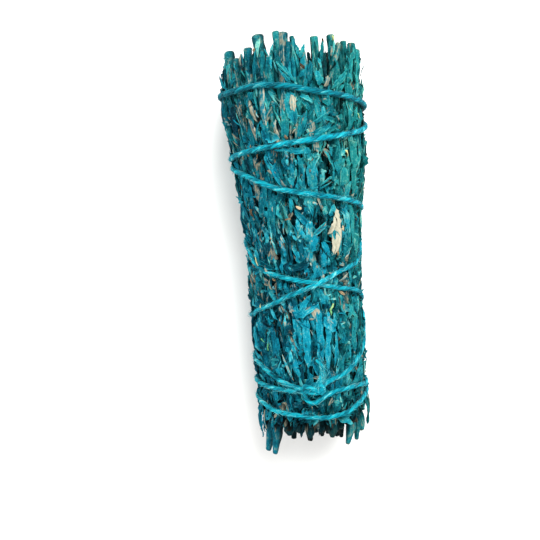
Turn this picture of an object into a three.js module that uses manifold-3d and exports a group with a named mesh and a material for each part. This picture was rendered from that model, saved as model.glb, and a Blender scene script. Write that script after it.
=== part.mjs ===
// Sage bunch: dried, dyed sage sprigs tied into a bundle with one cotton string, lying on its side.
// Millimetres, +Z up. The bunch's axis runs along Y, its fanned top end towards +Y.
// The origin is the bottom centre of the whole bunch's box.
import * as THREE from 'three';
import Module from 'manifold-3d';

const wasm = await Module();
wasm.setup();

// ---- Driving dimensions: the bunch ----
const FOOT_RADIUS = 17.0; // the bunch's outer radius at the foot
const HEAD_RADIUS = 20.1; // and at the fanned top
const FLARE_START = -5; // it widens from here ...
const FLARE_LENGTH = 44; // ... over this length
const SHOULDER = { out: 1.2, at: 45, reach: 9 }; // the left side of the top bulges
const WAIST = { in: 0.7, at: 17, reach: 12 }; // and is drawn in below the bulge
const SINK = 1.2; // the round bunch is pressed flat by this much where it lies
const AXIS_X = 0.53; // the axis stands this far from the middle of the box
const GAP = 0.3; // clearance between any two pieces
const CELL_GAP = 0.55 * GAP; // each sprig's share of the gap, a little over half

// ---- Driving dimensions: the sprigs ----
const OUTER_COUNT = 24;
const MIDDLE_COUNT = 12;
const INNER_COUNT = 6;
const OUTER_INSIDE = 0.67; // where the outer sprigs begin, as a share of the bunch's radius
const MIDDLE_RING = [0.41, 0.63]; // rings of hidden sprigs, as shares of the bunch's radius
const INNER_RING = [0.15, 0.38];
const CENTRE_RADIUS = 0.11;
const CENTRE_HEIGHTS = [-57, -30, 0, 30, 57];
const CORE_BELOW_SKIN = 2.7; // the matted core stays this far below the bunch's surface
const CORE_FROM = -50;
const CORE_TO = 49;
const CORE_STEPS = 4;
const CORE_END_SHARE = 0.82; // the core narrows to this share at its ends
const CORE_RELIEF = 0.5; // its back is sunk by up to this much
const CORE_RIDGE = 0.25; // and has a low ridge along it, wandering over ...
const CORE_RIDGE_SWAY = 0.4; // ... this share of its width
const END_MARGIN = 2; // the first and last blades and the stems' feet start this far inside the core
const STEM_RADII = [1.15, 0.3]; // the thinnest outer stem, and how much thicker the thickest is
const STEM_TIP = 0.6;
const STEM_FOOT_SHARE = 0.6; // a stem narrows to this share of its radius at its foot
const STEM_SIDES = 6;
const TIED_BELOW_CORE = 0.2; // an outer stem's top lies this far under the core's back
const UNDER_STRING = 1.15; // it passes this far under the surface where the top wrap crosses it
const STEM_RISE = 8; // it comes up to there over this length
const TIP_BELOW_SKIN = 0.2; // and up to this below the surface at its tip
const FAN_FROM = 42; // the stems spread above this height
const HIDDEN_RADII = [1.2, 0.35];
const HIDDEN_FOOT = [-54, 5]; // a hidden stem's foot, and how much lower the lowest is
const HIDDEN_TOP = [53, 5];
const HIDDEN_SWING = 0.7; // how far the hidden stems' ends stray sideways ...
const HIDDEN_REACH = 10; // ... over this length
const HIDDEN_SHORTER = 1; // a hidden core ends this much before an outer one
const HIDDEN_ROOTS = [3, 4]; // its stem's foot and top start this far inside the outer cores' ends

// ---- Driving dimensions: the blades ----
const UPPER_SHELL = 0.95; // depth of the upper layer of blades, on every second sprig
const LOWER_SHELL = 2.05; // depth of the lower layer, on the sprigs between
const UPPER_BLADES = 8;
const LOWER_BLADES = 5;
const UPPER_WIDTH = [3.8, 1.2]; // the narrowest blade, and how much wider the widest is
const LOWER_WIDTH = [3.1, 0.5];
const UPPER_SWING = THREE.MathUtils.degToRad(12); // the most that a blade leans to either side
const LOWER_SWING = THREE.MathUtils.degToRad(2);
const BLADE_LENGTH = [14, 6];
const BLADE_THICKNESS = 0.75;
const BLADE_WAVE = 0.24; // how far its edges are waved up and down
const BLADE_STRAY = 0.3; // how far a blade strays from even steps, as a share of one
const BLADE_RINGS = [[0.22, 0.6, 1.15], [0.52, 1, 0.15], [0.82, 0.72, 0]]; // share along, of width, sunk mm
const BLADE_ROOT = 0.9; // it begins this far inside the core
const HEM_ABOVE_FOOT = 5; // where the blades begin that hang past the core at the foot
const HEM_LENGTH = [7, 3];
const HEM_WIDTH = 2.7;
const HEM_RISE = 0.2;
const PRESSED_SPANS = [[-36, -30.5], [-14.5, 5], [22.5, 31.5]]; // flat leaf under it, between the wraps
const PRESSED_WIDTH = 4;
const PRESSED_EDGE = 1.2;
const PRESSED_ROOT = 0.6;

// ---- Driving dimensions: the string ----
const STRING_RADIUS = 0.8;
const STRING_SEAT = 0.05; // its centre line lies this far outside the bunch's surface
const STRING_FLAT = STRING_RADIUS * Math.cos(Math.PI / 6); // its six-sided section rests on a flat
const STRING_SIDES = 6;
const STRING_ROOM = 1.2 * GAP; // leaf is cut back this far from it
const STRING_STEP_DEGREES = 23;
const STRING_TURNS = 8;
const DENT = 0.65; // the string draws the leaves in by this much ...
const DENT_UNDER = 0.9; // ... and by this much more where it is pressed up into the underside
const UNDERSIDE = [0.77, 0.9]; // the share of straight down where the underside begins and is reached
const DENT_REACH = 4; // how far along the bunch a dent spreads
const ROUTE_SAMPLES = 4000;
const STRETCHES = [[-9.2, 4], [3, 716], [722, 2872]]; // degrees of turn, each from the knot and back
const KNOT_AT = [-3, -38.6, 0.5]; // degrees round the bunch, height and lift
const KNOT_RING = 0.85; // the string turns round in the knot at this radius
const KNOT_RISE = 0.55;
const KNOT_ARC_DEGREES = 150;
const KNOT_STEPS = 5;
const TAIL_ROUTE = [[-2, -38, 1.4], [5, -36.2, 1.0], [9, -33.4, 0.5], [7, -30.8, 0.4]];
const TAIL_END_RADIUS = 0.5;

const DYED_LEAF = 0x20737b;
const DYED_LEAF_DARK = 0x15535b;
const DYED_STRING = 0x17a0bc;

// The outer stems' tips, from the underside round the left, the top and the right. Each has the height
// that the tip reaches, where it stands round the bunch in degrees (0 is up, 90 is +X) and its radius.
const OUTER_TOPS = [
  [55, -173, 1.2], [57, -158, 1.2], [54, -143, 1.3], [56, -127, 1.1], [58, -112, 1.2], [55, -98, 1.3],
  [54, -84, 1.2], [58, -70, 1.4], [55.5, -55, 0.75], [57.5, -42, 0.85], [60, -30, 1.5], [60.4, -14, 1.1],
  [59, -1, 0.6], [58.5, 17, 1.0], [59, 33, 1.05], [57.8, 48, 0.9], [57.6, 62, 1.1], [56.5, 76, 1.1],
  [57, 97, 1.3], [54, 112, 1.1], [58, 127, 1.2], [56, 143, 1.3], [55, 158, 1.1], [57, 173, 1.2],
];
// Their feet also have the depth of the stem's middle below the surface: some come out at the skin.
const OUTER_FEET = [
  [-58, -172, 4.0], [-59.5, -157, 3.0], [-57, -143, 4.0], [-58.5, -128, 2.6], [-56, -112, 4.0],
  [-57, -97, 2.2], [-55, -86, 1.8], [-60.4, -69, 1.1], [-60.0, -53, 1.1], [-54, -36, 3.6],
  [-53, -22, 4.2], [-54.5, -9, 4.4], [-53, 7, 4.2], [-54.8, 21, 3.8], [-52.8, 34, 4.3],
  [-57.2, 36.5, 1.5], [-57.2, 52, 1.4], [-55.6, 66, 1.3], [-57, 97, 3.0], [-59, 113, 2.6],
  [-57.5, 128, 4.0], [-59, 143, 2.8], [-58, 157, 4.0], [-57, 172, 3.2],
];

// The string's route: degrees of turn round the bunch, height along it, and how far it is lifted to
// pass over itself. It starts at the knot near the foot, climbs to the top and winds back down.
const STRING_ROUTE = [
  [-9.5, -39.3, 0.5], [-8, -41.2, 0.1], [-2, -42.5, 0], [5, -41.7, 0], [12, -40.5, 0],
  [27, -39.6, 0], [49, -39.9, 0], [70, -41.2, 0], [90, -41.8, 0], [106, -42, 0],
  [122, -42.7, 0], [136, -43.9, 0], [152, -45.2, 0], [180, -46, 0], [270, -44.4, 0],
  [295, -44.4, 0], [304, -45, 0], [315, -45.6, 0], [340, -46.1, 0], [367, -47.1, 0],
  [388, -47, 0], [408, -45.8, 0], [430, -44.4, 0], [450, -44, 0], [466, -44, 0.1],
  [479, -43.9, 1.3], [491, -43.4, 2.0], [503, -42.5, 1.3], [518, -41.4, 0.1], [540, -40.6, 0],
  [630, -39, 0], [655, -38.5, 0], [684, -38.6, 0], [704, -38.8, 0], [718, -38.6, 0.8],
  [732, -36.6, 0.4], [741, -35.8, 0], [754, -34.8, 0], [770, -32.3, 0], [790, -29.4, 0],
  [810, -25.6, 0.1], [823, -23, 1.2], [835, -20.6, 2.0], [847, -19.3, 1.2], [862, -18.4, 0],
  [900, -18, 0], [985, -18.6, 0], [1021, -15.6, 0], [1042, -13.3, 0], [1061, -10.7, 0.1],
  [1075, -9, 1.2], [1087, -7.5, 2.0], [1099, -6.1, 1.2], [1114, -4.8, 0.1], [1140, -3.4, 0],
  [1160, 0.4, 0], [1174, 4.6, 0.1], [1185, 7.8, 1.2], [1196, 10.4, 2.0], [1208, 12.7, 1.2],
  [1224, 15.4, 0], [1260, 19.5, 0], [1286, 22.8, 0.1], [1299, 25, 1.3], [1311, 27, 2.0],
  [1323, 28.4, 1.3], [1338, 28.8, 0.1], [1362, 29.2, 0], [1380, 29.9, 0], [1400, 30.7, 0],
  [1429, 31.7, 0], [1454, 32.4, 0], [1486, 33.5, 0], [1510, 34.8, 0], [1530, 36.3, 0],
  [1545, 37.6, 0], [1568, 39.4, 0], [1590, 41, 0], [1620, 43.4, 0], [1710, 46.8, 0],
  [1746, 46.9, 0], [1770, 47.4, 0], [1790, 46.7, 0], [1812, 44.9, 0], [1835, 43.7, 0],
  [1861, 42.3, 0], [1884, 41.3, 0], [1900, 40.8, 0.1], [1915, 40.2, 1.2], [1928, 39.4, 2.0],
  [1941, 38.2, 1.2], [1956, 37, 0.1], [1980, 35, 0],
  [2000, 31.8, 0], [2018, 29.3, 0], [2034, 27.7, 0], [2052, 26.9, 0], [2070, 26.4, 0],
  [2085, 25.5, 0], [2100, 24.6, 0], [2116, 22.8, 0], [2140, 19.8, 0], [2163, 18.1, 0],
  [2195, 16, 0], [2233, 13.1, 0], [2275, 10.4, 0], [2340, 8.4, 0], [2430, 4.2, 0],
  [2450, 1.6, 0], [2467, -2.6, 0], [2491, -4.9, 0], [2522, -7, 0], [2547, -9.2, 0],
  [2575, -11.2, 0], [2600, -14.5, 0], [2635, -20.2, 0], [2660, -24, 0], [2700, -27.5, 0],
  [2790, -31.6, 0], [2815, -32.2, 0], [2827, -33.4, 0], [2848, -36.2, 0], [2868, -38.1, 0.2],
  [2877, -38.6, 0.8],
];

// ---- Small helpers ----
const { lerp, clamp, smoothstep, degToRad: radians, radToDeg: degrees } = THREE.MathUtils;

// A repeatable draw between 0 and 1 for two whole numbers.
function draw(a, b) {
  const s = Math.sin(a * 127.1 + b * 311.7) * 43758.5453;
  return s - Math.floor(s);
}

// A repeatable draw of a size that is given as its smallest value and its spread.
function sized([least, spread], a, b) {
  return least + spread * draw(a, b);
}

// A repeatable draw between -1 and 1.
function swing(a, b) {
  return 2 * draw(a, b) - 1;
}

function bell(distance, reach) {
  return Math.exp(-((distance / reach) ** 2));
}

// ---- The bunch's surface ----
const route = new THREE.CatmullRomCurve3(
  STRING_ROUTE.map(([turn, y, lift]) => new THREE.Vector3(radians(turn), y, lift)),
  false,
  'centripetal',
);
const fineRoute = route.getPoints(ROUTE_SAMPLES);

// The string's turn, height and lift where it has turned by an angle, by halving the route.
function routeAt(turn) {
  let low = 0;
  let high = ROUTE_SAMPLES;
  while (high - low > 1) {
    const middle = (low + high) >> 1;
    if (fineRoute[middle].x < turn) low = middle;
    else high = middle;
  }
  const share = (turn - fineRoute[low].x) / (fineRoute[high].x - fineRoute[low].x);
  return fineRoute[low].clone().lerp(fineRoute[high], clamp(share, 0, 1));
}

// The heights at which the string passes each whole degree round the bunch, from -180 to 180.
const passes = Array.from({ length: 361 }, (_, i) => (
  Array.from({ length: STRING_TURNS + 1 }, (_, n) => radians(i - 180 + 360 * n))
    .filter((turn) => turn > fineRoute[0].x && turn < fineRoute[ROUTE_SAMPLES].x)
    .map((turn) => routeAt(turn).y)
));

function meanRadius(y) {
  return lerp(FOOT_RADIUS, HEAD_RADIUS, smoothstep(y, FLARE_START, FLARE_START + FLARE_LENGTH));
}

// The surface as it would be without the string.
function bunchRadius(phi, y) {
  const left = Math.max(0, -Math.sin(phi));
  const shoulder = SHOULDER.out * bell(y - SHOULDER.at, SHOULDER.reach);
  const waist = WAIST.in * bell(y - WAIST.at, WAIST.reach);
  return meanRadius(y) + left * (shoulder - waist);
}

// The surface drawn in along the string.
function tiedRadius(phi, y) {
  const degree = Math.round(degrees(phi));
  const heights = passes[((((degree + 180) % 360) + 360) % 360)];
  const near = heights.reduce((most, height) => Math.max(most, bell(y - height, DENT_REACH)), 0);
  const under = smoothstep(-Math.cos(phi), ...UNDERSIDE);
  return bunchRadius(phi, y) - near * (DENT + DENT_UNDER * under);
}

// The point at an angle, a radius and a height. Directions that would reach below the table are
// shortened, so the surface is a true plane at z = 0 there.
function at(phi, rho, y) {
  const axisZ = meanRadius(y) - SINK;
  const down = -Math.cos(phi) * bunchRadius(phi, y);
  const press = down > axisZ ? axisZ / down : 1;
  return new THREE.Vector3(AXIS_X + rho * press * Math.sin(phi), y, axisZ + rho * press * Math.cos(phi));
}

// ---- Solids ----
// A closed body through rings of points. A ring of one point is a tip; other end rings get a flat fan.
// The quads split alike on both faces of a blade.
function loft(rings) {
  const points = [];
  const starts = rings.map((ring) => {
    const start = points.length;
    points.push(...ring);
    return start;
  });
  const triangles = [];
  for (let r = 0; r + 1 < rings.length; r++) {
    const n = Math.max(rings[r].length, rings[r + 1].length);
    for (let i = 0; i < n; i++) {
      const j = (i + 1) % n;
      const a = starts[r] + (rings[r].length > 1 ? i : 0);
      const b = starts[r] + (rings[r].length > 1 ? j : 0);
      const c = starts[r + 1] + (rings[r + 1].length > 1 ? j : 0);
      const d = starts[r + 1] + (rings[r + 1].length > 1 ? i : 0);
      if (a === b) triangles.push([a, c, d]);
      else if (c === d) triangles.push([a, b, c]);
      else if (i % 2 === 0) triangles.push([a, b, c], [a, c, d]);
      else triangles.push([a, b, d], [b, c, d]);
    }
  }
  for (const [r, turned] of [[0, true], [rings.length - 1, false]]) {
    const n = rings[r].length;
    for (let i = 1; i + 1 < n; i++) {
      const fan = [starts[r], starts[r] + i, starts[r] + i + 1];
      triangles.push(turned ? fan.reverse() : fan);
    }
  }
  return toSolid(points, triangles);
}

function toSolid(points, triangles) {
  const volume = triangles.reduce(
    (sum, [a, b, c]) => sum + points[a].dot(points[b].clone().cross(points[c])),
    0,
  );
  const outward = volume > 0 ? triangles : triangles.map(([a, b, c]) => [a, c, b]);
  return new wasm.Manifold(new wasm.Mesh({
    numProp: 3,
    vertProperties: Float32Array.from(points.flatMap((p) => p.toArray())),
    triVerts: Uint32Array.from(outward.flat()),
  }));
}

function join(solids) {
  return solids.reduce((whole, solid) => whole.add(solid));
}

// The largest body of a solid read back from its own 32-bit mesh, so that no scrap of a cut is left.
function largestBody(solid) {
  const readBack = new wasm.Manifold(solid.getMesh());
  return readBack.decompose().reduce((best, body) => (body.volume() > best.volume() ? body : best));
}

function toGeometry(solid) {
  const { vertProperties, triVerts } = solid.getMesh();
  const geometry = new THREE.BufferGeometry();
  geometry.setAttribute('position', new THREE.BufferAttribute(vertProperties, 3));
  geometry.setIndex(new THREE.BufferAttribute(triVerts, 1));
  return geometry;
}

// ---- Sprigs ----
// A length of stem with the given radii at the given heights: centre(y) gives its angle and how far out
// it lies in the bunch. Each cut end that shows is rounded off by a blunt tip.
function stem(centre, radii, heights, { footTip = true, topTip = true } = {}) {
  const rings = heights.map((y, i) => {
    const [phi, rho] = centre(y);
    const radius = radii[i];
    return Array.from({ length: STEM_SIDES }, (_, s) => {
      const turn = (2 * Math.PI * (s + 0.5)) / STEM_SIDES;
      return at(phi + (radius * Math.cos(turn)) / rho, rho + radius * Math.sin(turn), y);
    });
  });
  const tip = (y, out) => [at(...centre(y), y + out)];
  if (footTip) rings.unshift(tip(heights[0], -STEM_TIP));
  if (topTip) rings.push(tip(heights[heights.length - 1], STEM_TIP));
  return loft(rings);
}

// The matted core of pressed leaves: a wedge of the ring, its back raised and sunk along the bunch.
function core(phi, halfAngle, inside, outsideAt, from, to, seed) {
  const rings = [];
  for (let i = 0; i <= CORE_STEPS; i++) {
    const y = lerp(from, to, i / CORE_STEPS);
    const end = i === 0 || i === CORE_STEPS ? CORE_END_SHARE : 1;
    const top = outsideAt(y) - CORE_RELIEF * draw(seed, 40 + i);
    const low = inside * bunchRadius(phi, y);
    const middle = (low + top) / 2;
    const shrink = (rho) => middle + (rho - middle) * end;
    const half = halfAngle * end;
    const ridge = half * (CORE_RIDGE_SWAY / 2) * swing(seed, 60 + i);
    rings.push([
      at(phi - half, shrink(low), y),
      at(phi + half, shrink(low), y),
      at(phi + half, shrink(top), y),
      at(phi + ridge, shrink(top + CORE_RIDGE), y),
      at(phi - half, shrink(top), y),
    ]);
  }
  return loft(rings);
}

// A pressed blade: a lens across, waved along its edges. It starts inside the core, stays narrow until
// it is up in its layer, and lies over the root of the next one, as shingles do.
function blade({ phi, y, depth, length, width, lean, seed, way = 1 }) {
  const heading = [Math.sin(lean), way * Math.cos(lean)];
  const spot = (t, across, below) => {
    const s = t * length;
    const height = y + s * heading[1] - across * heading[0];
    const angle = phi + (s * heading[0] + across * Math.abs(heading[1])) / bunchRadius(phi, height);
    return at(angle, tiedRadius(phi, height) - below, height);
  };
  const rings = BLADE_RINGS.map(([t, share, sunk], i) => {
    const half = (width * share) / 2;
    const wave = BLADE_WAVE * swing(seed, 80 + i);
    const below = depth + sunk;
    return [
      spot(t, -half, below - wave),
      spot(t, 0, below - BLADE_THICKNESS / 2),
      spot(t, half, below + wave),
      spot(t, 0, below + BLADE_THICKNESS / 2),
    ];
  });
  const root = at(phi, bunchRadius(phi, y) - CORE_BELOW_SKIN - BLADE_ROOT, y);
  return loft([[root], ...rings, [spot(1, 0, depth)]]);
}

function outerSprig(k) {
  const cell = (2 * Math.PI) / OUTER_COUNT;
  const phi = -Math.PI + (k + 0.5) * cell;
  const halfAngle = cell / 2 - CELL_GAP / (FOOT_RADIUS * OUTER_INSIDE);
  const thick = sized(STEM_RADII, k, 1);
  const outside = (y) => bunchRadius(phi, y) - CORE_BELOW_SKIN;
  const pressed = k === 0 ? PRESSED_SPANS.map((span) => pressedLeaf(phi, span)) : [];
  return join([
    core(phi, halfAngle, OUTER_INSIDE, outside, CORE_FROM, CORE_TO, k),
    ...stemEnds(k, phi, thick),
    ...blades(k, phi),
    ...pressed,
  ]);
}

// The two ends of an outer sprig's stem that stand out of the core. Between them it is buried in it.
function stemEnds(k, phi, thick) {
  const tiedDepth = thick + CORE_BELOW_SKIN + TIED_BELOW_CORE;
  const [top, topDegrees, tipRadius] = OUTER_TOPS[k];
  const [foot, footDegrees, footDepth] = OUTER_FEET[k];
  const underWrap = CORE_TO - 1;
  const footRoot = CORE_FROM + END_MARGIN;
  const atTop = (y) => {
    const depth = y < underWrap
      ? lerp(tiedDepth, thick + UNDER_STRING, clamp((y - underWrap + STEM_RISE) / STEM_RISE, 0, 1))
      : lerp(thick + UNDER_STRING, thick + TIP_BELOW_SKIN, clamp((y - underWrap) / (top - underWrap), 0, 1));
    return [lerp(phi, radians(topDegrees), smoothstep(y, FAN_FROM, top)), bunchRadius(phi, y) - depth];
  };
  const atFoot = (y) => {
    const out = clamp((footRoot - y) / (footRoot - foot), 0, 1);
    return [lerp(phi, radians(footDegrees), out), bunchRadius(phi, y) - lerp(tiedDepth, footDepth, out)];
  };
  return [
    stem(atFoot, [thick * STEM_FOOT_SHARE, thick], [foot, footRoot], { topTip: false }),
    stem(atTop, [thick, thick, tipRadius], [underWrap - STEM_RISE, underWrap, top], { footTip: false }),
  ];
}

function blades(k, phi) {
  const upper = k % 2 === 0;
  const count = upper ? UPPER_BLADES : LOWER_BLADES;
  const depth = upper ? UPPER_SHELL : LOWER_SHELL;
  const step = (CORE_TO - CORE_FROM - BLADE_LENGTH[0] - END_MARGIN) / (count - 1);
  const shingles = Array.from({ length: count }, (_, j) => {
    const seed = 100 * (k + 1) + j;
    const wide = upper && j < count - 1;
    return blade({
      phi,
      y: CORE_FROM + END_MARGIN + step * (j + BLADE_STRAY * (draw(seed, 5) - 0.5)),
      depth,
      length: sized(BLADE_LENGTH, seed, 2),
      width: sized(wide ? UPPER_WIDTH : LOWER_WIDTH, seed, 3),
      lean: (wide ? UPPER_SWING : LOWER_SWING) * swing(seed, 6),
      seed,
    });
  });
  const hem = blade({
    phi,
    y: CORE_FROM + HEM_ABOVE_FOOT,
    depth: depth - HEM_RISE,
    length: sized(HEM_LENGTH, k, 7),
    width: HEM_WIDTH,
    lean: LOWER_SWING * swing(k, 8),
    seed: k,
    way: -1,
  });
  return [...shingles, hem];
}

// Leaf pressed flat against the table: its outer face is a true plane at z = 0.
function pressedLeaf(phi, [from, to]) {
  const edge = PRESSED_EDGE;
  const below = (angle, y, depth) => at(angle, bunchRadius(angle, y) - depth, y);
  const ring = (y, lift) => {
    const half = (PRESSED_WIDTH / 2 - lift) / FOOT_RADIUS;
    return [
      below(phi - half, y, lift),
      below(phi + half, y, lift),
      below(phi + half, y, CORE_BELOW_SKIN + PRESSED_ROOT),
      below(phi - half, y, CORE_BELOW_SKIN + PRESSED_ROOT),
    ];
  };
  return loft([ring(from, edge), ring(from + edge, 0), ring(to - edge, 0), ring(to, edge)]);
}

// A hidden sprig: its stem with a little matted leaf on it, filling its cell of an inner ring.
function hiddenSprig(seed, phi, halfAngle, ring) {
  const thick = sized(HIDDEN_RADII, seed, 1);
  const foot = HIDDEN_FOOT[0] - HIDDEN_FOOT[1] * draw(seed, 2);
  const top = sized(HIDDEN_TOP, seed, 3);
  const middle = (ring[0] + ring[1]) / 2;
  const [footRoot, topRoot] = HIDDEN_ROOTS;
  const stray = (y) => Math.max(0, Math.abs(y) - CORE_TO + footRoot) / HIDDEN_REACH;
  const across = HIDDEN_SWING * swing(seed, 4);
  const outward = HIDDEN_SWING * swing(seed, 5);
  const centre = (y) => {
    const rho = middle * bunchRadius(phi, y) + outward * stray(y);
    return [phi + (across * stray(y)) / rho, rho];
  };
  const outside = (y) => ring[1] * bunchRadius(phi, y);
  return join([
    core(phi, halfAngle, ring[0], outside, CORE_FROM + HIDDEN_SHORTER, CORE_TO - HIDDEN_SHORTER, seed),
    stem(centre, [thick * STEM_FOOT_SHARE, thick], [foot, CORE_FROM + footRoot], { topTip: false }),
    stem(centre, [thick, thick], [CORE_TO - topRoot, top], { footTip: false }),
  ]);
}

function ringOfSprigs(count, ring, firstSeed) {
  const halfAngle = Math.PI / count - CELL_GAP / (FOOT_RADIUS * ring[0]);
  return Array.from({ length: count }, (_, k) => (
    hiddenSprig(firstSeed + k, -Math.PI + ((k + 0.5) * 2 * Math.PI) / count, halfAngle, ring)
  ));
}

function centreSprig() {
  const rings = CENTRE_HEIGHTS.map((y) => Array.from({ length: STEM_SIDES }, (_, s) => (
    at((2 * Math.PI * s) / STEM_SIDES, CENTRE_RADIUS * meanRadius(y), y)
  )));
  const foot = CENTRE_HEIGHTS[0] - STEM_TIP;
  const top = CENTRE_HEIGHTS[CENTRE_HEIGHTS.length - 1] + STEM_TIP;
  return loft([[at(0, 0, foot)], ...rings, [at(0, 0, top)]]);
}

// ---- String ----
// The string's centre line lies on the skin, and flat on the table under the bunch.
function onSkin(phi, y, lift) {
  const rho = bunchRadius(phi, y) + STRING_SEAT + lift;
  const axisZ = meanRadius(y) - SINK;
  const z = axisZ + rho * Math.cos(phi);
  return new THREE.Vector3(AXIS_X + rho * Math.sin(phi), y, Math.max(z, STRING_FLAT + lift));
}

function outwards(point) {
  return new THREE.Vector3(point.x - AXIS_X, 0, point.z - meanRadius(point.y) + SINK).normalize();
}

// A cord through points, six-sided with a flat side outwards, or downwards where it lies on the table.
function cord(points, radiusAt, out = outwards) {
  const rings = points.map((point, i) => {
    const before = points[Math.max(0, i - 1)];
    const after = points[Math.min(points.length - 1, i + 1)];
    const tangent = after.clone().sub(before).normalize();
    const level = point.z < STRING_FLAT + 0.01 && out === outwards;
    const up = level ? new THREE.Vector3(0, 0, -1) : out(point);
    const side = tangent.clone().cross(up).normalize();
    const normal = side.clone().cross(tangent);
    const r = radiusAt(i / (points.length - 1));
    return Array.from({ length: STRING_SIDES }, (_, s) => {
      const turn = (2 * Math.PI * (s + 0.5)) / STRING_SIDES;
      const p = point.clone()
        .addScaledVector(normal, r * Math.cos(turn))
        .addScaledVector(side, r * Math.sin(turn));
      return p.setZ(Math.max(p.z, 0));
    });
  });
  return loft(rings);
}

// The stretches of the string, each from the knot round the bunch and back to it.
function wraps(radius) {
  const stretch = ([from, to]) => {
    const steps = Math.round((to - from) / STRING_STEP_DEGREES);
    const points = Array.from({ length: steps + 1 }, (_, i) => {
      const { x: turn, y, z: lift } = routeAt(radians(lerp(from, to, i / steps)));
      return onSkin(turn, y, lift);
    });
    return cord(points, () => radius);
  };
  return join(STRETCHES.map(stretch));
}

// The knot: three short arcs of the string crossing in a ring, and its tail.
function knot() {
  const [turnDegrees, y, lift] = KNOT_AT;
  const centre = onSkin(radians(turnDegrees), y, lift);
  const up = outwards(centre);
  const east = new THREE.Vector3(0, 1, 0).cross(up).normalize();
  const north = up.clone().cross(east);
  const arcs = [0, 1, 2].map((k) => {
    const points = Array.from({ length: KNOT_STEPS + 1 }, (_, i) => {
      const turn = (2 * Math.PI * k) / 3 + (i / KNOT_STEPS) * radians(KNOT_ARC_DEGREES);
      return centre.clone()
        .addScaledVector(east, KNOT_RING * Math.cos(turn))
        .addScaledVector(north, KNOT_RING * Math.sin(turn))
        .addScaledVector(up, KNOT_RISE * Math.sin((Math.PI * i) / KNOT_STEPS));
    });
    return cord(points, () => STRING_RADIUS, () => up);
  });
  const tail = cord(
    TAIL_ROUTE.map(([angle, height, rise]) => onSkin(radians(angle), height, rise)),
    (t) => lerp(STRING_RADIUS, TAIL_END_RADIUS, t),
  );
  return join([...arcs, tail]);
}

// ---- The bunch ----
const leafMaterial = new THREE.MeshStandardMaterial({ color: DYED_LEAF, roughness: 0.85, metalness: 0 });
const innerMaterial = new THREE.MeshStandardMaterial({ color: DYED_LEAF_DARK, roughness: 0.9, metalness: 0 });
const stringMaterial = new THREE.MeshStandardMaterial({ color: DYED_STRING, roughness: 0.8, metalness: 0 });

const bunch = new THREE.Group();

function add(name, solid, material) {
  const mesh = new THREE.Mesh(toGeometry(solid), material);
  mesh.name = name;
  bunch.add(mesh);
}

const twoDigits = (k) => String(k + 1).padStart(2, '0');
const stringSolid = wraps(STRING_RADIUS).add(knot());
const stringRoom = wraps(STRING_RADIUS + STRING_ROOM).add(knot());

for (let k = 0; k < OUTER_COUNT; k++) {
  add(`outer_sprig_${twoDigits(k)}`, largestBody(outerSprig(k).subtract(stringRoom)), leafMaterial);
}
ringOfSprigs(MIDDLE_COUNT, MIDDLE_RING, 500).forEach((solid, k) => {
  add(`middle_sprig_${twoDigits(k)}`, solid, innerMaterial);
});
ringOfSprigs(INNER_COUNT, INNER_RING, 600).forEach((solid, k) => {
  add(`inner_sprig_${twoDigits(k)}`, solid, innerMaterial);
});
add('centre_sprig', centreSprig(), innerMaterial);
add('cotton_string', largestBody(stringSolid), stringMaterial);

export default bunch;
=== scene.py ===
# %% [markdown]
# # A tied bunch of dried, dyed sage
#
# The bunch is a bundle of cut sage sprigs: thin woody stems with their leaves pressed round them, dyed
# teal, dried, and bound with one cotton string. It lies on its side.
#
# Everything is worked out as whole numpy arrays. A leaf is a function of two parameters on a small
# grid, a stem and the string are a profile carried along a path, and one helper puts such arrays into a
# mesh. Lengths in this script are millimetres until that helper turns them into metres.

import bpy
import numpy as np
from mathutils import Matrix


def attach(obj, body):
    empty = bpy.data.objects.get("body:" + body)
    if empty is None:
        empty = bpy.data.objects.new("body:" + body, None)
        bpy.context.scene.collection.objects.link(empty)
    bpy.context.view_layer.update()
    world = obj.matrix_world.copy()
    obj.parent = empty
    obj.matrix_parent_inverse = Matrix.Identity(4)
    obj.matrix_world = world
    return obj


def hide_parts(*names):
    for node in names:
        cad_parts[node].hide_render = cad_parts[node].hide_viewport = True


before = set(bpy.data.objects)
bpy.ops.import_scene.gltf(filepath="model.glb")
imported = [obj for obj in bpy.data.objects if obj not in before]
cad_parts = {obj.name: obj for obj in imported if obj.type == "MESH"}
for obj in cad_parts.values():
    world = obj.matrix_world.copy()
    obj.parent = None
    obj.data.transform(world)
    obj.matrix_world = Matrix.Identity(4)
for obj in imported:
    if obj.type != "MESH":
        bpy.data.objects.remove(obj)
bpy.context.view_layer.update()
MM = 0.001
print("sub-parts in the frame:", len(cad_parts))

# %% [markdown]
# ## Camera, floor and light
#
# A product shot from above: the camera looks down on the bunch, a little tilted and turned. A lamp
# could be a point or a sun, but both draw hard shadows, so two large square lamps and a pale sky give
# the soft studio light, the stronger lamp standing beyond the bunch's top end.

# %% Camera
FOCAL_PIXELS, FRAME_PIXELS = 680.0, 540.0
CAMERA_DISTANCE = 224.5
CAMERA_TILT, CAMERA_TURN = 0.1455, np.radians(-4.0)
LOOK_AT = (-10.11, -7.5, 0.0)

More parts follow.
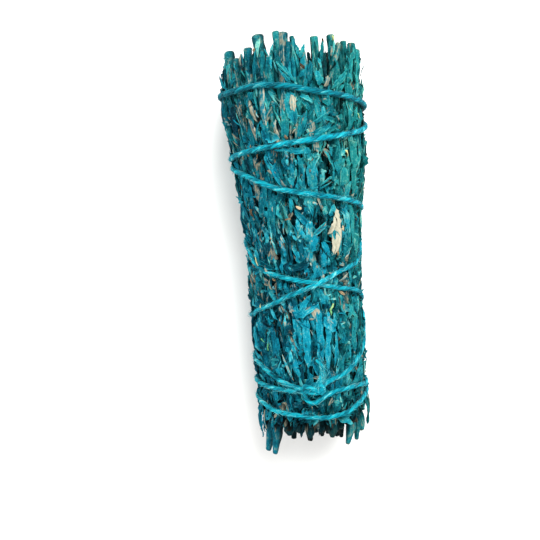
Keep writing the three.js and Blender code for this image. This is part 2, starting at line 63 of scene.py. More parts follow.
camera_data = bpy.data.cameras.new("camera")
camera_data.sensor_width = 36.0
camera_data.lens = 36.0 * FOCAL_PIXELS / FRAME_PIXELS
camera_data.clip_start, camera_data.clip_end = 0.01, 20.0
camera = bpy.data.objects.new("camera", camera_data)
bpy.context.scene.collection.objects.link(camera)
towards_camera = np.array([
    -np.sin(CAMERA_TURN) * np.sin(CAMERA_TILT),
    np.cos(CAMERA_TURN) * np.sin(CAMERA_TILT),
    np.cos(CAMERA_TILT),
])
camera.location = (np.array(LOOK_AT) + CAMERA_DISTANCE * towards_camera) * MM
camera.rotation_euler = (-CAMERA_TILT, 0.0, CAMERA_TURN)
bpy.context.scene.camera = camera
print("lens in mm:", round(camera_data.lens, 1))


# %% Colour and node helpers
def linear(hex_colour):
    """An sRGB hex colour as linear RGBA: (c + 0.055) / 1.055 to the power 2.4, or c / 12.92 when dark."""
    c = np.array([int(hex_colour[i:i + 2], 16) for i in (1, 3, 5)]) / 255
    c = np.where(c <= 0.04045, c / 12.92, ((c + 0.055) / 1.055) ** 2.4)
    return (*c, 1.0)


def add_node(tree, kind, settings=None, stops=None, **inputs):
    """Adds a node, sets its properties and any colour stops, and links or fills its inputs.

    An input is named, or i and its number. The stops of a colour ramp are (place, hex colour) pairs.
    """
    node = tree.nodes.new(kind)
    for name, value in (settings or {}).items():
        setattr(node, name, value)
    for number, (place, colour) in enumerate(stops or ()):
        elements = node.color_ramp.elements
        element = elements[number] if number < len(elements) else elements.new(place)
        element.position, element.color = place, linear(colour)
    for name, value in inputs.items():
        numbered = name[0] == "i" and name[1:].isdigit()
        socket = node.inputs[int(name[1:])] if numbered else node.inputs[name.replace("_", " ")]
        if isinstance(value, bpy.types.NodeSocket):
            tree.links.new(value, socket)
        else:
            socket.default_value = value
    return node


def new_material(name):
    """A material with an empty node tree, and that tree."""
    material = bpy.data.materials.new(name)
    material.use_nodes = True
    material.node_tree.nodes.clear()
    return material, material.node_tree


print("middle grey in linear light:", round(float(linear("#808080")[0]), 3))

# %% Floor
scene = bpy.context.scene
scene.view_settings.view_transform = "Standard"
FLOOR_HALF = 2.0
corners = [(FLOOR_HALF * x, FLOOR_HALF * y, 0) for x, y in ((-1, -1), (1, -1), (1, 1), (-1, 1))]
floor_mesh = bpy.data.meshes.new("floor")
floor_mesh.from_pydata(corners, [], [(0, 1, 2, 3)])
floor = bpy.data.objects.new("floor", floor_mesh)
scene.collection.objects.link(floor)
floor_material, tree = new_material("pale_paper")
floor_shader = add_node(tree, "ShaderNodeBsdfPrincipled", Base_Color=linear("#f2f2f0"), Roughness=0.9)
add_node(tree, "ShaderNodeOutputMaterial", Surface=floor_shader.outputs[0])
floor_mesh.materials.append(floor_material)
print("floor half side in m:", FLOOR_HALF)

# %% Light
world = bpy.data.worlds.new("studio")
world.use_nodes = True
world.node_tree.nodes["Background"].inputs[0].default_value = (1.0, 1.0, 1.0, 1.0)
world.node_tree.nodes["Background"].inputs[1].default_value = 0.75
scene.world = world


def square_lamp(name, place, size, power):
    """A square lamp at a place in millimetres, turned so that it faces the bunch."""
    data = bpy.data.lights.new(name, "AREA")
    data.size, data.energy = size * MM, power
    lamp = bpy.data.objects.new(name, data)
    scene.collection.objects.link(lamp)
    lamp.location = np.array(place) * MM
    aim = np.array([0.0, 0.0, 15.0]) - np.array(place)
    aim /= np.linalg.norm(aim)
    lamp.rotation_euler = (np.arccos(-aim[2]), 0.0, np.arctan2(-aim[0], aim[1]))


square_lamp("key_light", (140, 330, 400), 300, 4.6)
square_lamp("fill_light", (-320, -150, 380), 420, 1.1)

# %% [markdown]
# ## The bunch's surface
#
# All pieces are placed in the bunch's own coordinates: an angle round it (0 is up, positive towards
# +X), a radius, and a height along it. The radius grows from the foot to the fanned top, the underside
# is pressed flat where the bunch lies, and the string draws the leaves in along its way, so the string's
# route comes first. Written once as functions, this lets every leaf and stem follow the bunch, and
# keeps the detail on the solids it stands for.

# %% Small helpers
def draw(a, b):
    """A repeatable draw between 0 and 1: the fraction left of a large sine of the two numbers."""
    s = np.sin(np.asarray(a) * 127.1 + np.asarray(b) * 311.7) * 43758.5453
    return s - np.floor(s)


def smooth_step(x, low, high):
    """0 below low, 1 above high, and 3t^2 - 2t^3 between them."""
    t = np.clip((x - low) / (high - low), 0, 1)
    return t * t * (3 - 2 * t)


def blend(a, b, t):
    """a where t is 0, b where t is 1, and in proportion between them."""
    return a + (b - a) * t


def bell(distance, reach):
    """e to the power of minus (distance / reach) squared: 1 in the middle, near 0 past twice the reach."""
    return np.exp(-((distance / reach) ** 2))


def unit(v):
    """Vectors divided by their lengths."""
    return v / np.maximum(np.linalg.norm(v, axis=-1, keepdims=True), 1e-9)


def distance_along(path):
    """How far each point lies along the path from its first point."""
    return np.concatenate([[0], np.cumsum(np.linalg.norm(np.diff(path, axis=0), axis=1))])


def noise(x, y, seed):
    """Value noise: draws at the whole numbers, blended with smooth steps between them; from 0 to 1."""
    column, row = np.floor(x), np.floor(y)
    u, v = smooth_step(x - column, 0, 1), smooth_step(y - row, 0, 1)
    low = blend(draw(column + 57 * row, seed), draw(column + 1 + 57 * row, seed), u)
    high = blend(draw(column + 57 * (row + 1), seed), draw(column + 1 + 57 * (row + 1), seed), u)
    return blend(low, high, v)


print("first draws:", draw(1, 1).round(3), draw(2, 1).round(3))

# %% Route of the string: degrees of turn round the bunch, height along it, and lift where it crosses itself
ROUTE = np.array([
    (-9.5, -39.3, 0.5), (-8, -41.2, 0.1), (-2, -42.5, 0), (5, -41.7, 0), (12, -40.5, 0), (27, -39.6, 0),
    (49, -39.9, 0), (70, -41.2, 0), (90, -41.8, 0), (106, -42, 0), (122, -42.7, 0), (136, -43.9, 0),
    (152, -45.2, 0), (180, -46, 0), (270, -44.4, 0), (295, -44.4, 0), (304, -45, 0), (315, -45.6, 0),
    (340, -46.1, 0), (367, -47.1, 0), (388, -47, 0), (408, -45.8, 0), (430, -44.4, 0), (450, -44, 0),
    (466, -44, 0.1), (479, -43.9, 1.3), (491, -43.4, 2.0), (503, -42.5, 1.3), (518, -41.4, 0.1),
    (540, -40.6, 0), (630, -39, 0), (655, -38.5, 0), (684, -38.6, 0), (704, -38.8, 0), (718, -38.6, 0.8),
    (732, -36.6, 0.4), (741, -35.8, 0), (754, -34.8, 0), (770, -32.3, 0), (790, -29.4, 0),
    (810, -25.6, 0.1), (823, -23, 1.2), (835, -20.6, 2.0), (847, -19.3, 1.2), (862, -18.4, 0),
    (900, -18, 0), (985, -18.6, 0), (1021, -15.6, 0), (1042, -13.3, 0), (1061, -10.7, 0.1), (1075, -9, 1.2),
    (1087, -7.5, 2.0), (1099, -6.1, 1.2), (1114, -4.8, 0.1), (1140, -3.4, 0), (1160, 0.4, 0),
    (1174, 4.6, 0.1), (1185, 7.8, 1.2), (1196, 10.4, 2.0), (1208, 12.7, 1.2), (1224, 15.4, 0),
    (1260, 19.5, 0), (1286, 22.8, 0.1), (1299, 25, 1.3), (1311, 27, 2.0), (1323, 28.4, 1.3),
    (1338, 28.8, 0.1), (1362, 29.2, 0), (1380, 29.9, 0), (1400, 30.7, 0), (1429, 31.7, 0), (1454, 32.4, 0),
    (1486, 33.5, 0), (1510, 34.8, 0), (1530, 36.3, 0), (1545, 37.6, 0), (1568, 39.4, 0), (1590, 41, 0),
    (1620, 43.4, 0), (1710, 46.8, 0), (1746, 46.9, 0), (1770, 47.4, 0), (1790, 46.7, 0), (1812, 44.9, 0),
    (1835, 43.7, 0), (1861, 42.3, 0), (1884, 41.3, 0), (1900, 40.8, 0.1), (1915, 40.2, 1.2),
    (1928, 39.4, 2.0), (1941, 38.2, 1.2), (1956, 37, 0.1), (1980, 35, 0), (2000, 31.8, 0), (2018, 29.3, 0),
    (2034, 27.7, 0), (2052, 26.9, 0), (2070, 26.4, 0), (2085, 25.5, 0), (2100, 24.6, 0), (2116, 22.8, 0),
    (2140, 19.8, 0), (2163, 18.1, 0), (2195, 16, 0), (2233, 13.1, 0), (2275, 10.4, 0), (2340, 8.4, 0),
    (2430, 4.2, 0), (2450, 1.6, 0), (2467, -2.6, 0), (2491, -4.9, 0), (2522, -7, 0), (2547, -9.2, 0),
    (2575, -11.2, 0), (2600, -14.5, 0), (2635, -20.2, 0), (2660, -24, 0), (2700, -27.5, 0),
    (2790, -31.6, 0), (2815, -32.2, 0), (2827, -33.4, 0), (2848, -36.2, 0), (2868, -38.1, 0.2),
    (2877, -38.6, 0.8),
])


def spline(p, per_segment):
    """A centripetal Catmull-Rom curve: a cubic between each two points, its slopes weighted by the square
    roots of the distances between the points."""
    p = np.concatenate([[2 * p[0] - p[1]], p, [2 * p[-1] - p[-2]]])
    a, b, c, d = p[:-3], p[1:-2], p[2:-1], p[3:]
    before, here, after = (np.sqrt(np.linalg.norm(v, axis=1))[:, None] for v in (b - a, c - b, d - c))
    slope_b = ((b - a) / before - (c - a) / (before + here) + (c - b) / here) * here
    slope_c = ((c - b) / here - (d - b) / (here + after) + (d - c) / after) * here
    t = (np.arange(per_segment) / per_segment)[None, :, None]
    b, c, slope_b, slope_c = (v[:, None] for v in (b, c, slope_b, slope_c))
    square, cube = 3 * (c - b) - 2 * slope_b - slope_c, 2 * (b - c) + slope_b + slope_c
    cubic = b + slope_b * t + square * t**2 + cube * t**3
    return np.concatenate([cubic.reshape(-1, p.shape[1]), p[-2:-1]])


route_turn, route_y, route_lift = spline(ROUTE * [np.pi / 180, 1, 1], 60).T
print("turns of the string:", round(route_turn[-1] / (2 * np.pi), 2))

# %% The surface functions
FOOT_RADIUS, HEAD_RADIUS = 17.0, 20.1
FLARE_START, FLARE_LENGTH = -5.0, 44.0
# How far out and in, the height where it is most, and the reach along the bunch
SHOULDER, WAIST = (1.2, 45, 9), (0.7, 17, 12)
SINK = 1.2
AXIS_X = 0.53
STRING_TURNS = 8
DENT, DENT_UNDER, DENT_REACH = 0.65, 0.9, 4.0
UNDER_FROM_TO = 0.77, 0.9  # the share of straight down where the underside begins and is reached
ARC_RADIUS = 18  # between the foot's and the top's: turns angles into millimetres round the bunch


def mean_radius(y):
    """The foot's radius, which grows by a smooth step to the head's over the flare."""
    return blend(FOOT_RADIUS, HEAD_RADIUS, smooth_step(y, FLARE_START, FLARE_START + FLARE_LENGTH))


def bunch_radius(phi, y):
    """The mean radius, with a shoulder and a waist on the left side, each a bell curve along the bunch."""
    left = np.maximum(0, -np.sin(phi))
    (out, shoulder_y, shoulder_reach), (drawn_in, waist_y, waist_reach) = SHOULDER, WAIST
    shift = out * bell(y - shoulder_y, shoulder_reach) - drawn_in * bell(y - waist_y, waist_reach)
    return mean_radius(y) + left * shift


def string_nearness(phi, y, reach):
    """1 on the string's line and 0 far from it: the largest bell curve of the distances to its passes."""
    phi = np.mod(np.asarray(phi) + np.pi, 2 * np.pi) - np.pi
    near = np.zeros(np.broadcast(phi, y).shape)
    for n in range(STRING_TURNS + 1):
        height = np.interp(phi + 2 * np.pi * n, route_turn, route_y, left=900, right=900)
        near = np.maximum(near, bell(y - height, reach))
    return near


def tied_radius(phi, y):
    """The surface drawn in along the string, and more so under the bunch, where the string presses in."""
    under = smooth_step(-np.cos(phi), *UNDER_FROM_TO)
    return bunch_radius(phi, y) - string_nearness(phi, y, DENT_REACH) * (DENT + DENT_UNDER * under)


# Gaps between the leaves where one looks into the bunch: degrees, height, and reach across and along in mm
HOLLOWS = np.array([
    (-31, 41.6, 0.5, 0.6), (22, 41.6, 0.5, 0.6), (13, 41.3, 0.5, 0.6), (-33, 37.4, 0.5, 1.2),
    (27, 36.3, 0.7, 0.8), (55, 34.8, 0.6, 0.6), (-37, 27.8, 0.5, 0.6), (-54, 27.7, 0.7, 2.0),
    (-19, 26.9, 0.8, 1.4), (36, 24.8, 0.7, 0.5), (44, 23.4, 0.7, 0.5), (27, 20.9, 0.5, 0.9),
    (21, 19.1, 0.6, 0.6), (-25, 17.1, 0.5, 2.4), (-16, 16.4, 0.5, 0.9), (-26, 14.9, 0.6, 1.0),
    (-28, 13.4, 0.5, 0.6), (17, 12.6, 0.5, 0.9), (12, 12.6, 0.5, 0.9), (38, 12.2, 0.9, 0.7),
    (31, 11.4, 0.5, 0.9), (3, 11.2, 1.2, 1.0), (23, 11, 0.9, 0.5), (-21, 11, 0.5, 0.6),
    (19, 10.1, 0.8, 0.6), (-61, 9.9, 0.5, 0.8), (-54, 9.5, 0.5, 3.2), (-17, 9.4, 0.5, 2.0),
    (-30, 8.5, 0.8, 1.0), (-10, 7.9, 0.7, 0.6), (-18, 6.4, 0.5, 1.2), (-35, 5.8, 0.5, 0.6),
    (43, 5.2, 0.5, 3.2), (-53, 5.1, 0.7, 1.2), (-2, 4.7, 0.5, 0.5), (-13, 4.5, 0.5, 0.5),
    (2, 4.2, 0.5, 0.5), (-12, 3.7, 0.5, 0.5), (-1, 3.2, 0.5, 0.5), (-27, 2.8, 0.6, 0.8),
    (-8, 2.6, 0.6, 0.7), (16, 2.5, 0.5, 2.4), (60, 1.9, 0.5, 0.9), (-23, 0.5, 0.5, 0.8),
    (83, -0.6, 0.7, 0.5), (32, -2, 0.9, 1.3), (-73, -2.3, 0.5, 0.6), (22, -3.4, 1.3, 0.5),
    (4, -4, 1.3, 0.9), (-42, -5.8, 0.8, 0.6), (-47, -7.2, 0.5, 0.5), (-24, -7.3, 0.5, 0.6),
    (59, -7.4, 0.7, 0.6), (-40, -8.5, 0.7, 0.9), (-52, -8.8, 0.5, 1.2), (-13, -9.1, 1.4, 0.5),
    (-30, -9.3, 0.6, 0.6), (-11, -11.5, 0.5, 1.0), (-58, -11.5, 0.5, 0.8), (-19, -12.1, 0.5, 0.6),
    (-1, -12.3, 1.0, 0.6), (-4, -12.7, 1.0, 0.7), (43, -14.6, 0.5, 2.0), (33, -14.7, 0.5, 1.6),
    (15, -15, 0.5, 1.2), (-33, -15.3, 0.6, 0.6), (-22, -15.7, 0.7, 0.6), (-10, -17.3, 0.6, 0.6),
    (-49, -17.6, 0.6, 0.8), (24, -18.1, 0.5, 0.8), (-21, -18.5, 0.5, 0.7), (62, -18.9, 0.5, 0.5),
    (44, -20.3, 0.9, 0.5), (-55, -21.8, 0.5, 1.6), (-27, -22.4, 0.5, 2.0), (-14, -23.8, 0.5, 2.4),
    (-41, -24.6, 0.5, 2.0), (46, -25.3, 0.5, 2.0), (34, -26.9, 0.5, 2.4), (2, -27.3, 0.5, 2.8),
    (20, -27.9, 0.5, 2.4), (-8, -28.9, 0.5, 2.0), (11, -29.9, 0.5, 2.4), (-49, -30.7, 0.5, 1.2),
    (-37, -40.8, 0.5, 1.6), (-23, -42.8, 0.5, 2.0), (34, -43.6, 0.5, 1.6), (2, -44.6, 0.5, 1.6),
    (19, -44.7, 0.5, 1.6), (-31, -49.2, 0.7, 1.2), (-12, -49.3, 0.7, 1.2), (25, -50, 0.6, 1.2),
    (8, -50, 0.8, 1.2),
])
CRACK_WIDTH, CRACK_LENGTH, PIT_SIZE = 1.5, 5.5, 1.2
CRACK_NOISE, PIT_NOISE = (0.76, 0.9), (0.84, 0.94)  # value noise where they begin and where they are deepest
PIT_SHARE = 0.8  # a pit is a little less deep than a crack
HOLLOW_DEPTH = 2.1
GAP_REACH = 3  # mm round the points in which gaps are looked for


def hollow(phi, y):
    """How far leaves are pressed in, in mm: in the gaps, and in cracks and pits where value noise is high."""
    arc = np.asarray(phi) * ARC_RADIUS
    cracks = smooth_step(noise(arc / CRACK_WIDTH, y / CRACK_LENGTH, 21.0), *CRACK_NOISE)
    pits = smooth_step(noise(arc / PIT_SIZE, y / (1.5 * PIT_SIZE), 33.0), *PIT_NOISE)
    deepest = np.maximum(cracks, PIT_SHARE * pits)
    low, high = np.min(y) - GAP_REACH, np.max(y) + GAP_REACH
    left, right = np.min(arc) - GAP_REACH, np.max(arc) + GAP_REACH
    for degrees, height, across, along in HOLLOWS:
        centre = np.radians(degrees) * ARC_RADIUS
        if low < height < high and left < centre < right:
            gap = bell(np.hypot((arc - centre) / across, (y - height) / along), 1.0)
            deepest = np.maximum(deepest, gap)
    return deepest * HOLLOW_DEPTH


def at(phi, rho, y):
    """Angle, radius and height to x, y, z. A direction that would end below the table is shortened."""
    phi, rho, y = np.broadcast_arrays(phi, rho, y)
    axis_z = mean_radius(y) - SINK
    down = -np.cos(phi) * bunch_radius(phi, y)
    press = np.where(down > axis_z, axis_z / np.maximum(down, 1e-9), 1.0)
    z = axis_z + rho * press * np.cos(phi)
    return np.stack([AXIS_X + rho * press * np.sin(phi), y, np.maximum(z, 0.0)], -1)


def outwards(points):
    """The direction away from the bunch's axis at each point."""
    y = points[:, 1]
    axis = np.stack([np.full(len(points), AXIS_X), y, mean_radius(y) - SINK], -1)
    return unit(points - axis)


def depth_below_skin(points):
    """How deep each point lies in the bunch, in mm, along its own direction from the axis."""
    x, z = points[:, 0] - AXIS_X, points[:, 2] - mean_radius(points[:, 1]) + SINK
    phi = np.arctan2(x, z)
    return tied_radius(phi, points[:, 1]) - np.hypot(x, z)


print("radius at the foot and the top:", mean_radius(-50.0), mean_radius(50.0))

# %% [markdown]
# ## From arrays to meshes
#
# A piece of the bunch holds hundreds of leaves. Making an object for each would be slow and would bury
# the parts list, so each shape gives its points, its quads and triangles and a few values for each point,
# and a piece is all of its shapes laid end to end. The values for each point are what the materials
# read: how dark the dye took and how blue, where it never reached, where the wood is cut or the leaf
# ends in a rim, which way the grain runs, and how deep in the bunch the point lies.

# %% Piece helpers
VALUES = ("tint", "bare", "cut", "hue", "rim")


def shape(points, quads, triangles, grain, material=0, **given):
    """One closed shape: points (n, 3), faces as point numbers, and its values for each point."""
    n = len(points)
    spread = [np.broadcast_to(np.asarray(given.get(key, 0.0), float), n) for key in VALUES]
    faces = len(quads) + len(triangles)
    return {"points": points, "quads": quads, "triangles": triangles, "grain": grain,
            "values": np.stack(spread), "materials": np.full(faces, material)}


def make_piece(name, shapes, materials, sharp_degrees=50):
    """Lays shapes end to end in one mesh: every shape's point numbers move up by the points before it."""
    starts = np.cumsum([0] + [len(s["points"]) for s in shapes])
    points = np.concatenate([s["points"] for s in shapes])
    quads = np.concatenate([s["quads"] + start for s, start in zip(shapes, starts)])
    triangles = np.concatenate([s["triangles"] + start for s, start in zip(shapes, starts)])
    quad_materials = np.concatenate([s["materials"][:len(s["quads"])] for s in shapes])
    triangle_materials = np.concatenate([s["materials"][len(s["quads"]):] for s in shapes])
    mesh = bpy.data.meshes.new(name)
    mesh.vertices.add(len(points))
    mesh.vertices.foreach_set("co", (points * MM).astype(np.float32).ravel())
    mesh.loops.add(quads.size + triangles.size)
    corners = np.concatenate([quads.ravel(), triangles.ravel()])
    mesh.loops.foreach_set("vertex_index", corners.astype(np.int32))
    mesh.polygons.add(len(quads) + len(triangles))
    loop_starts = np.concatenate([np.arange(len(quads)) * 4, quads.size + np.arange(len(triangles)) * 3])
    mesh.polygons.foreach_set("loop_start", loop_starts.astype(np.int32))
    for material in materials:
        mesh.materials.append(material)
    all_materials = np.concatenate([quad_materials, triangle_materials])
    mesh.polygons.foreach_set("material_index", all_materials.astype(np.int32))
    mesh.update(calc_edges=True)
    values = np.concatenate([s["values"] for s in shapes], axis=1)
    for key, row in zip(VALUES, values):
        mesh.attributes.new(key, "FLOAT", "POINT").data.foreach_set("value", row.astype(np.float32))
    deep = depth_below_skin(points)
    mesh.attributes.new("deep", "FLOAT", "POINT").data.foreach_set("value", deep.astype(np.float32))
    grain = np.concatenate([s["grain"] for s in shapes]).astype(np.float32)
    mesh.attributes.new("grain", "FLOAT_VECTOR", "POINT").data.foreach_set("vector", grain.ravel())
    mesh.set_sharp_from_angle(angle=np.radians(sharp_degrees))
    piece = bpy.data.objects.new(name, mesh)
    scene.collection.objects.link(piece)
    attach(piece, "root")
    return piece


def tube_faces(rings, sides):
    """Quads between rings of points, outward when the rings run clockwise seen from behind, and end fans."""
    r, s = np.meshgrid(np.arange(rings - 1), np.arange(sides), indexing="ij")
    here, there = r * sides + s, r * sides + (s + 1) % sides
    quads = np.stack([here, there, there + sides, here + sides], -1).reshape(-1, 4)
    s = np.arange(sides)
    first, last = rings * sides, (rings - 1) * sides
    start_fan = np.stack([np.full(sides, first), (s + 1) % sides, s], -1)
    end_fan = np.stack([last + s, last + (s + 1) % sides, np.full(sides, first + 1)], -1)
    return quads, np.concatenate([start_fan, end_fan])


print("values for each point:", VALUES)

# %% [markdown]
# ## One leaf, many leaves
#
# A dried sage leaf is a thin lance of a few millimetres across, folded along its midrib, curled and
# crumpled by drying and torn by handling. It could be a bent card with a picture on it, but it would
# have no edge and no underside. Here it is a closed lens: rings of points along it, whose middle surface
# is folded, curled, twisted and crumpled by adding up simple terms. Large leaves get many points and
# crumbs few, and all the leaves of one kind in a sprig are worked out in one call, as arrays of
# (leaf, ring, point).

# %% Leaf grids: columns across the upper side, rings along
LARGE, MEDIUM, SMALL = (7, 13), (5, 8), (3, 5)
# How far above the tied surface a leaf may reach, in mm: away from the string, and under it
OPEN_CEILING, UNDER_THE_STRING = 4.0, 0.3
# The broad and the fine creases: width and length in mm, and seed
CREASES = ((0.7, 2.6, 3.0), (0.35, 1.1, 8.0))
FINE_SHARE = 0.6  # of the fine creases, against the broad ones
JITTER = 0.02  # how far the points stray along the leaf, as a share of its length
HELD_FROM, HELD_TO = 0.4, 0.75  # nearness to the string where a leaf begins to be held down, and where it is


def leaf_stations(grid):
    """Where each point of a ring lies across the leaf, -1 to 1, on which side, and where the rings are."""
    columns, rings = grid
    across = np.linspace(-1, 1, columns)
    station = np.concatenate([np.arange(columns), np.arange(columns - 2, 0, -1)])
    side = np.concatenate([[0], np.ones(columns - 2), [0], -np.ones(columns - 2)])
    along = 0.5 - 0.5 * np.cos(np.pi * (np.arange(rings) + 0.6) / (rings + 0.2))
    return across[station], side, station, along


def leaves(rng, grid, phi, y, length, width, depth, **given):
    """Closed leaves lying along the bunch, from arrays with one number for each leaf.

    Along s from 0 to 1, the half width is width / 2 times (1 - |2 s^skew - 1|^bluntness)^0.8, waved at
    its rims. The middle surface stands at minus the depth, plus fold times the distance from the midrib,
    plus curl times its square, plus a twist, an arch that is a half sine, and creases of value noise.
    The string holds down what it passes over: a leaf that is pressed stays under it.
    """
    n = len(phi)
    p = {"lean": 0.0, "end_depth": depth, "fold": 0.0, "curl": 0.0, "twist": 0.0, "arch": 0.0, "bend": 0.0,
         "skew": 1.0, "blunt": 2.4, "ragged": 0.25, "crumple": 0.35, "thick": 0.28, "tint": 0.5, "bare": 0.0,
         "hue": rng.random(n)}
    p.update(given)
    material, pressed = p.pop("material", 0), p.pop("pressed", 1.0)
    p = {key: np.broadcast_to(np.asarray(v, float), n)[:, None, None] for key, v in p.items()}
    sizes = (phi, y, length, width, depth)
    phi, y, length, width, depth = (np.asarray(v, float)[:, None, None] for v in sizes)
    a, side, station, s = leaf_stations(grid)
    a, s, rings = a[None, None, :], s[None, :, None], len(s)
    share = (1 - np.abs(2 * s ** p["skew"] - 1) ** p["blunt"]) ** 0.8
    edges = 1 - p["ragged"] * rng.random((n, rings, 2))
    half = width / 2 * share * np.where(a < 0, edges[:, :, :1], edges[:, :, 1:])
    own = rng.random((n, 1, 1)) * 400
    across = a * half + p["bend"] * length * (s - s * s) * 4
    along = (s - 0.5) * length + rng.normal(0, JITTER, (n, rings, grid[0]))[:, :, station] * length
    broad, fine = (noise(across / wide + own, along / long, seed) for wide, long, seed in CREASES)
    crease = broad + FINE_SHARE * fine - (1 + FINE_SHARE) / 2  # less its mean
    height = -blend(depth, p["end_depth"], s) + np.abs(a) * half * p["fold"] + a * a * half * p["curl"]
    height = height + a * half * p["twist"] * (2 * s - 1) + p["arch"] * np.sin(np.pi * s)
    height = height + p["crumple"] * crease
    height = height + side * p["thick"] / 2 * (1 - 0.5 * a * a)
    tips_along = np.stack([np.full(n, -0.5), np.full(n, 0.5)], 1) * length[:, :, 0]
    tips_height = -np.stack([depth[:, 0, 0], p["end_depth"][:, 0, 0]], 1)
    across = np.concatenate([across.reshape(n, -1), np.zeros((n, 2))], 1)
    along = np.concatenate([along.reshape(n, -1), tips_along], 1)
    height = np.concatenate([height.reshape(n, -1), tips_height], 1)
    lean = p["lean"][:, :, 0]
    radius = bunch_radius(phi[:, :, 0], y[:, :, 0])
    place_y = y[:, :, 0] + along * np.cos(lean) - across * np.sin(lean)
    place_phi = phi[:, :, 0] + (along * np.sin(lean) + across * np.cos(lean)) / radius
    held = pressed * smooth_step(string_nearness(place_phi, place_y, 1.0), HELD_FROM, HELD_TO)
    ceiling = blend(OPEN_CEILING, UNDER_THE_STRING * (0.5 + p["hue"][:, :, 0]), held)
    height = np.minimum(height, ceiling) - pressed * hollow(place_phi, place_y)
    points = at(place_phi, tied_radius(place_phi, place_y) + height, place_y)
    each = points.shape[1]
    quads, triangles = tube_faces(rings, len(station))
    offsets = (np.arange(n) * each)[:, None, None]
    own = own[:, :, 0]
    grain = np.stack([across + own, along + own * 0.7, np.broadcast_to(own * 1.3, across.shape)], -1)
    rim = np.broadcast_to(np.abs(a), (n, rings, len(station))).reshape(n, -1)
    rim = np.concatenate([rim, np.ones((n, 2))], 1)
    spread = {key: np.broadcast_to(p[key][:, :, 0], across.shape).ravel() for key in ("tint", "bare", "hue")}
    return shape(points.reshape(-1, 3), (quads[None] + offsets).reshape(-1, 4),
                 (triangles[None] + offsets).reshape(-1, 3), grain.reshape(-1, 3), material, rim=rim.ravel(),
                 **spread)


leaf_faces = {grid: sum(map(len, tube_faces(grid[1], 2 * grid[0] - 2))) for grid in (LARGE, MEDIUM, SMALL)}
print("faces in a leaf:", leaf_faces)

# %% [markdown]
# ## Stems
#
# The stems are woody, two to three millimetres thick, ribbed lengthwise, swollen where leaves sat, and
# cut off with secateurs, which leaves a blunt rounded end of paler wood. A profile carried along a path
# makes them: rings of points round the path, drawn in at each end.

# %% Tubes along a path
# The rings added at an end: how far out and how wide, as shares of the radius, and the cut value
END_STEPS = ((0.5, 0.45, 1.0), (0.38, 0.78, 0.7), (0.16, 0.94, 0.2))
END_REACH = 0.52
FOOT_TAPER, TIP_TAPER = 9.0, 6.0
STEM_STEP, STEM_WANDER = 1.6, 0.3
KNOB_FROM, KNOB_SIZE = 0.72, 0.9  # value noise above which a stem swells into knobs, and how much


def tube(path, radius, sides=10, ribs=0.0, rib_count=5, rough=0.0, seed=0.0, up=None, **values):
    """A closed tube: rings round the path, of radius times (1 + ribs cos(count turn) + roughness).

    The last three rings at each end draw in to a blunt face, which carries the cut value.
    """
    path, radius = np.asarray(path, float), np.broadcast_to(radius, len(path)).astype(float)
    tangent = unit(np.gradient(path, axis=0))
    up = outwards(path) if up is None else np.broadcast_to(up, path.shape)
    side = unit(np.cross(tangent, up))
    normal = np.cross(side, tangent)
    steps = np.array(END_STEPS)
    added = np.zeros(len(steps), int)
    order = np.concatenate([added, np.arange(len(path)), added - 1])
    slide = np.concatenate([-steps[:, 0], np.zeros(len(path)), steps[::-1, 0]]) * radius[order]
    shrink = np.concatenate([steps[:, 1], np.ones(len(path)), steps[::-1, 1]])
    cut = np.concatenate([steps[:, 2], np.zeros(len(path)), steps[::-1, 2]])
    centre = path[order] + tangent[order] * slide[:, None]
    turn = np.arange(sides) * 2 * np.pi / sides
    distance = distance_along(path)[order] + slide
    grit = noise(distance[:, None] / 2.5, turn * 1.3, seed) - 0.5
    bumps = 1 + ribs * np.cos(rib_count * turn + seed) + rough * grit
    reach = radius[order][:, None] * shrink[:, None] * bumps
    ring = -side[order][:, None] * np.cos(turn)[:, None] + normal[order][:, None] * np.sin(turn)[:, None]
    points = centre[:, None] + ring * reach[:, :, None]
    ends = np.stack([path[0] - tangent[0] * radius[0] * END_REACH,
                     path[-1] + tangent[-1] * radius[-1] * END_REACH])
    points = np.concatenate([points.reshape(-1, 3), ends])
    points[:, 2] = np.maximum(points[:, 2], 0)
    along = np.broadcast_to(distance[:, None], reach.shape)
    grain = np.stack([np.cos(turn) * reach, along, np.sin(turn) * reach], -1)
    grain = np.concatenate([grain.reshape(-1, 3), [[0, 0, 0], [0, distance[-1], 0]]]) + seed * 37
    quads, triangles = tube_faces(len(order), sides)
    cut = np.concatenate([np.repeat(cut, sides), [1, 1]])
    return shape(points, quads, triangles, grain, cut=cut, **values)


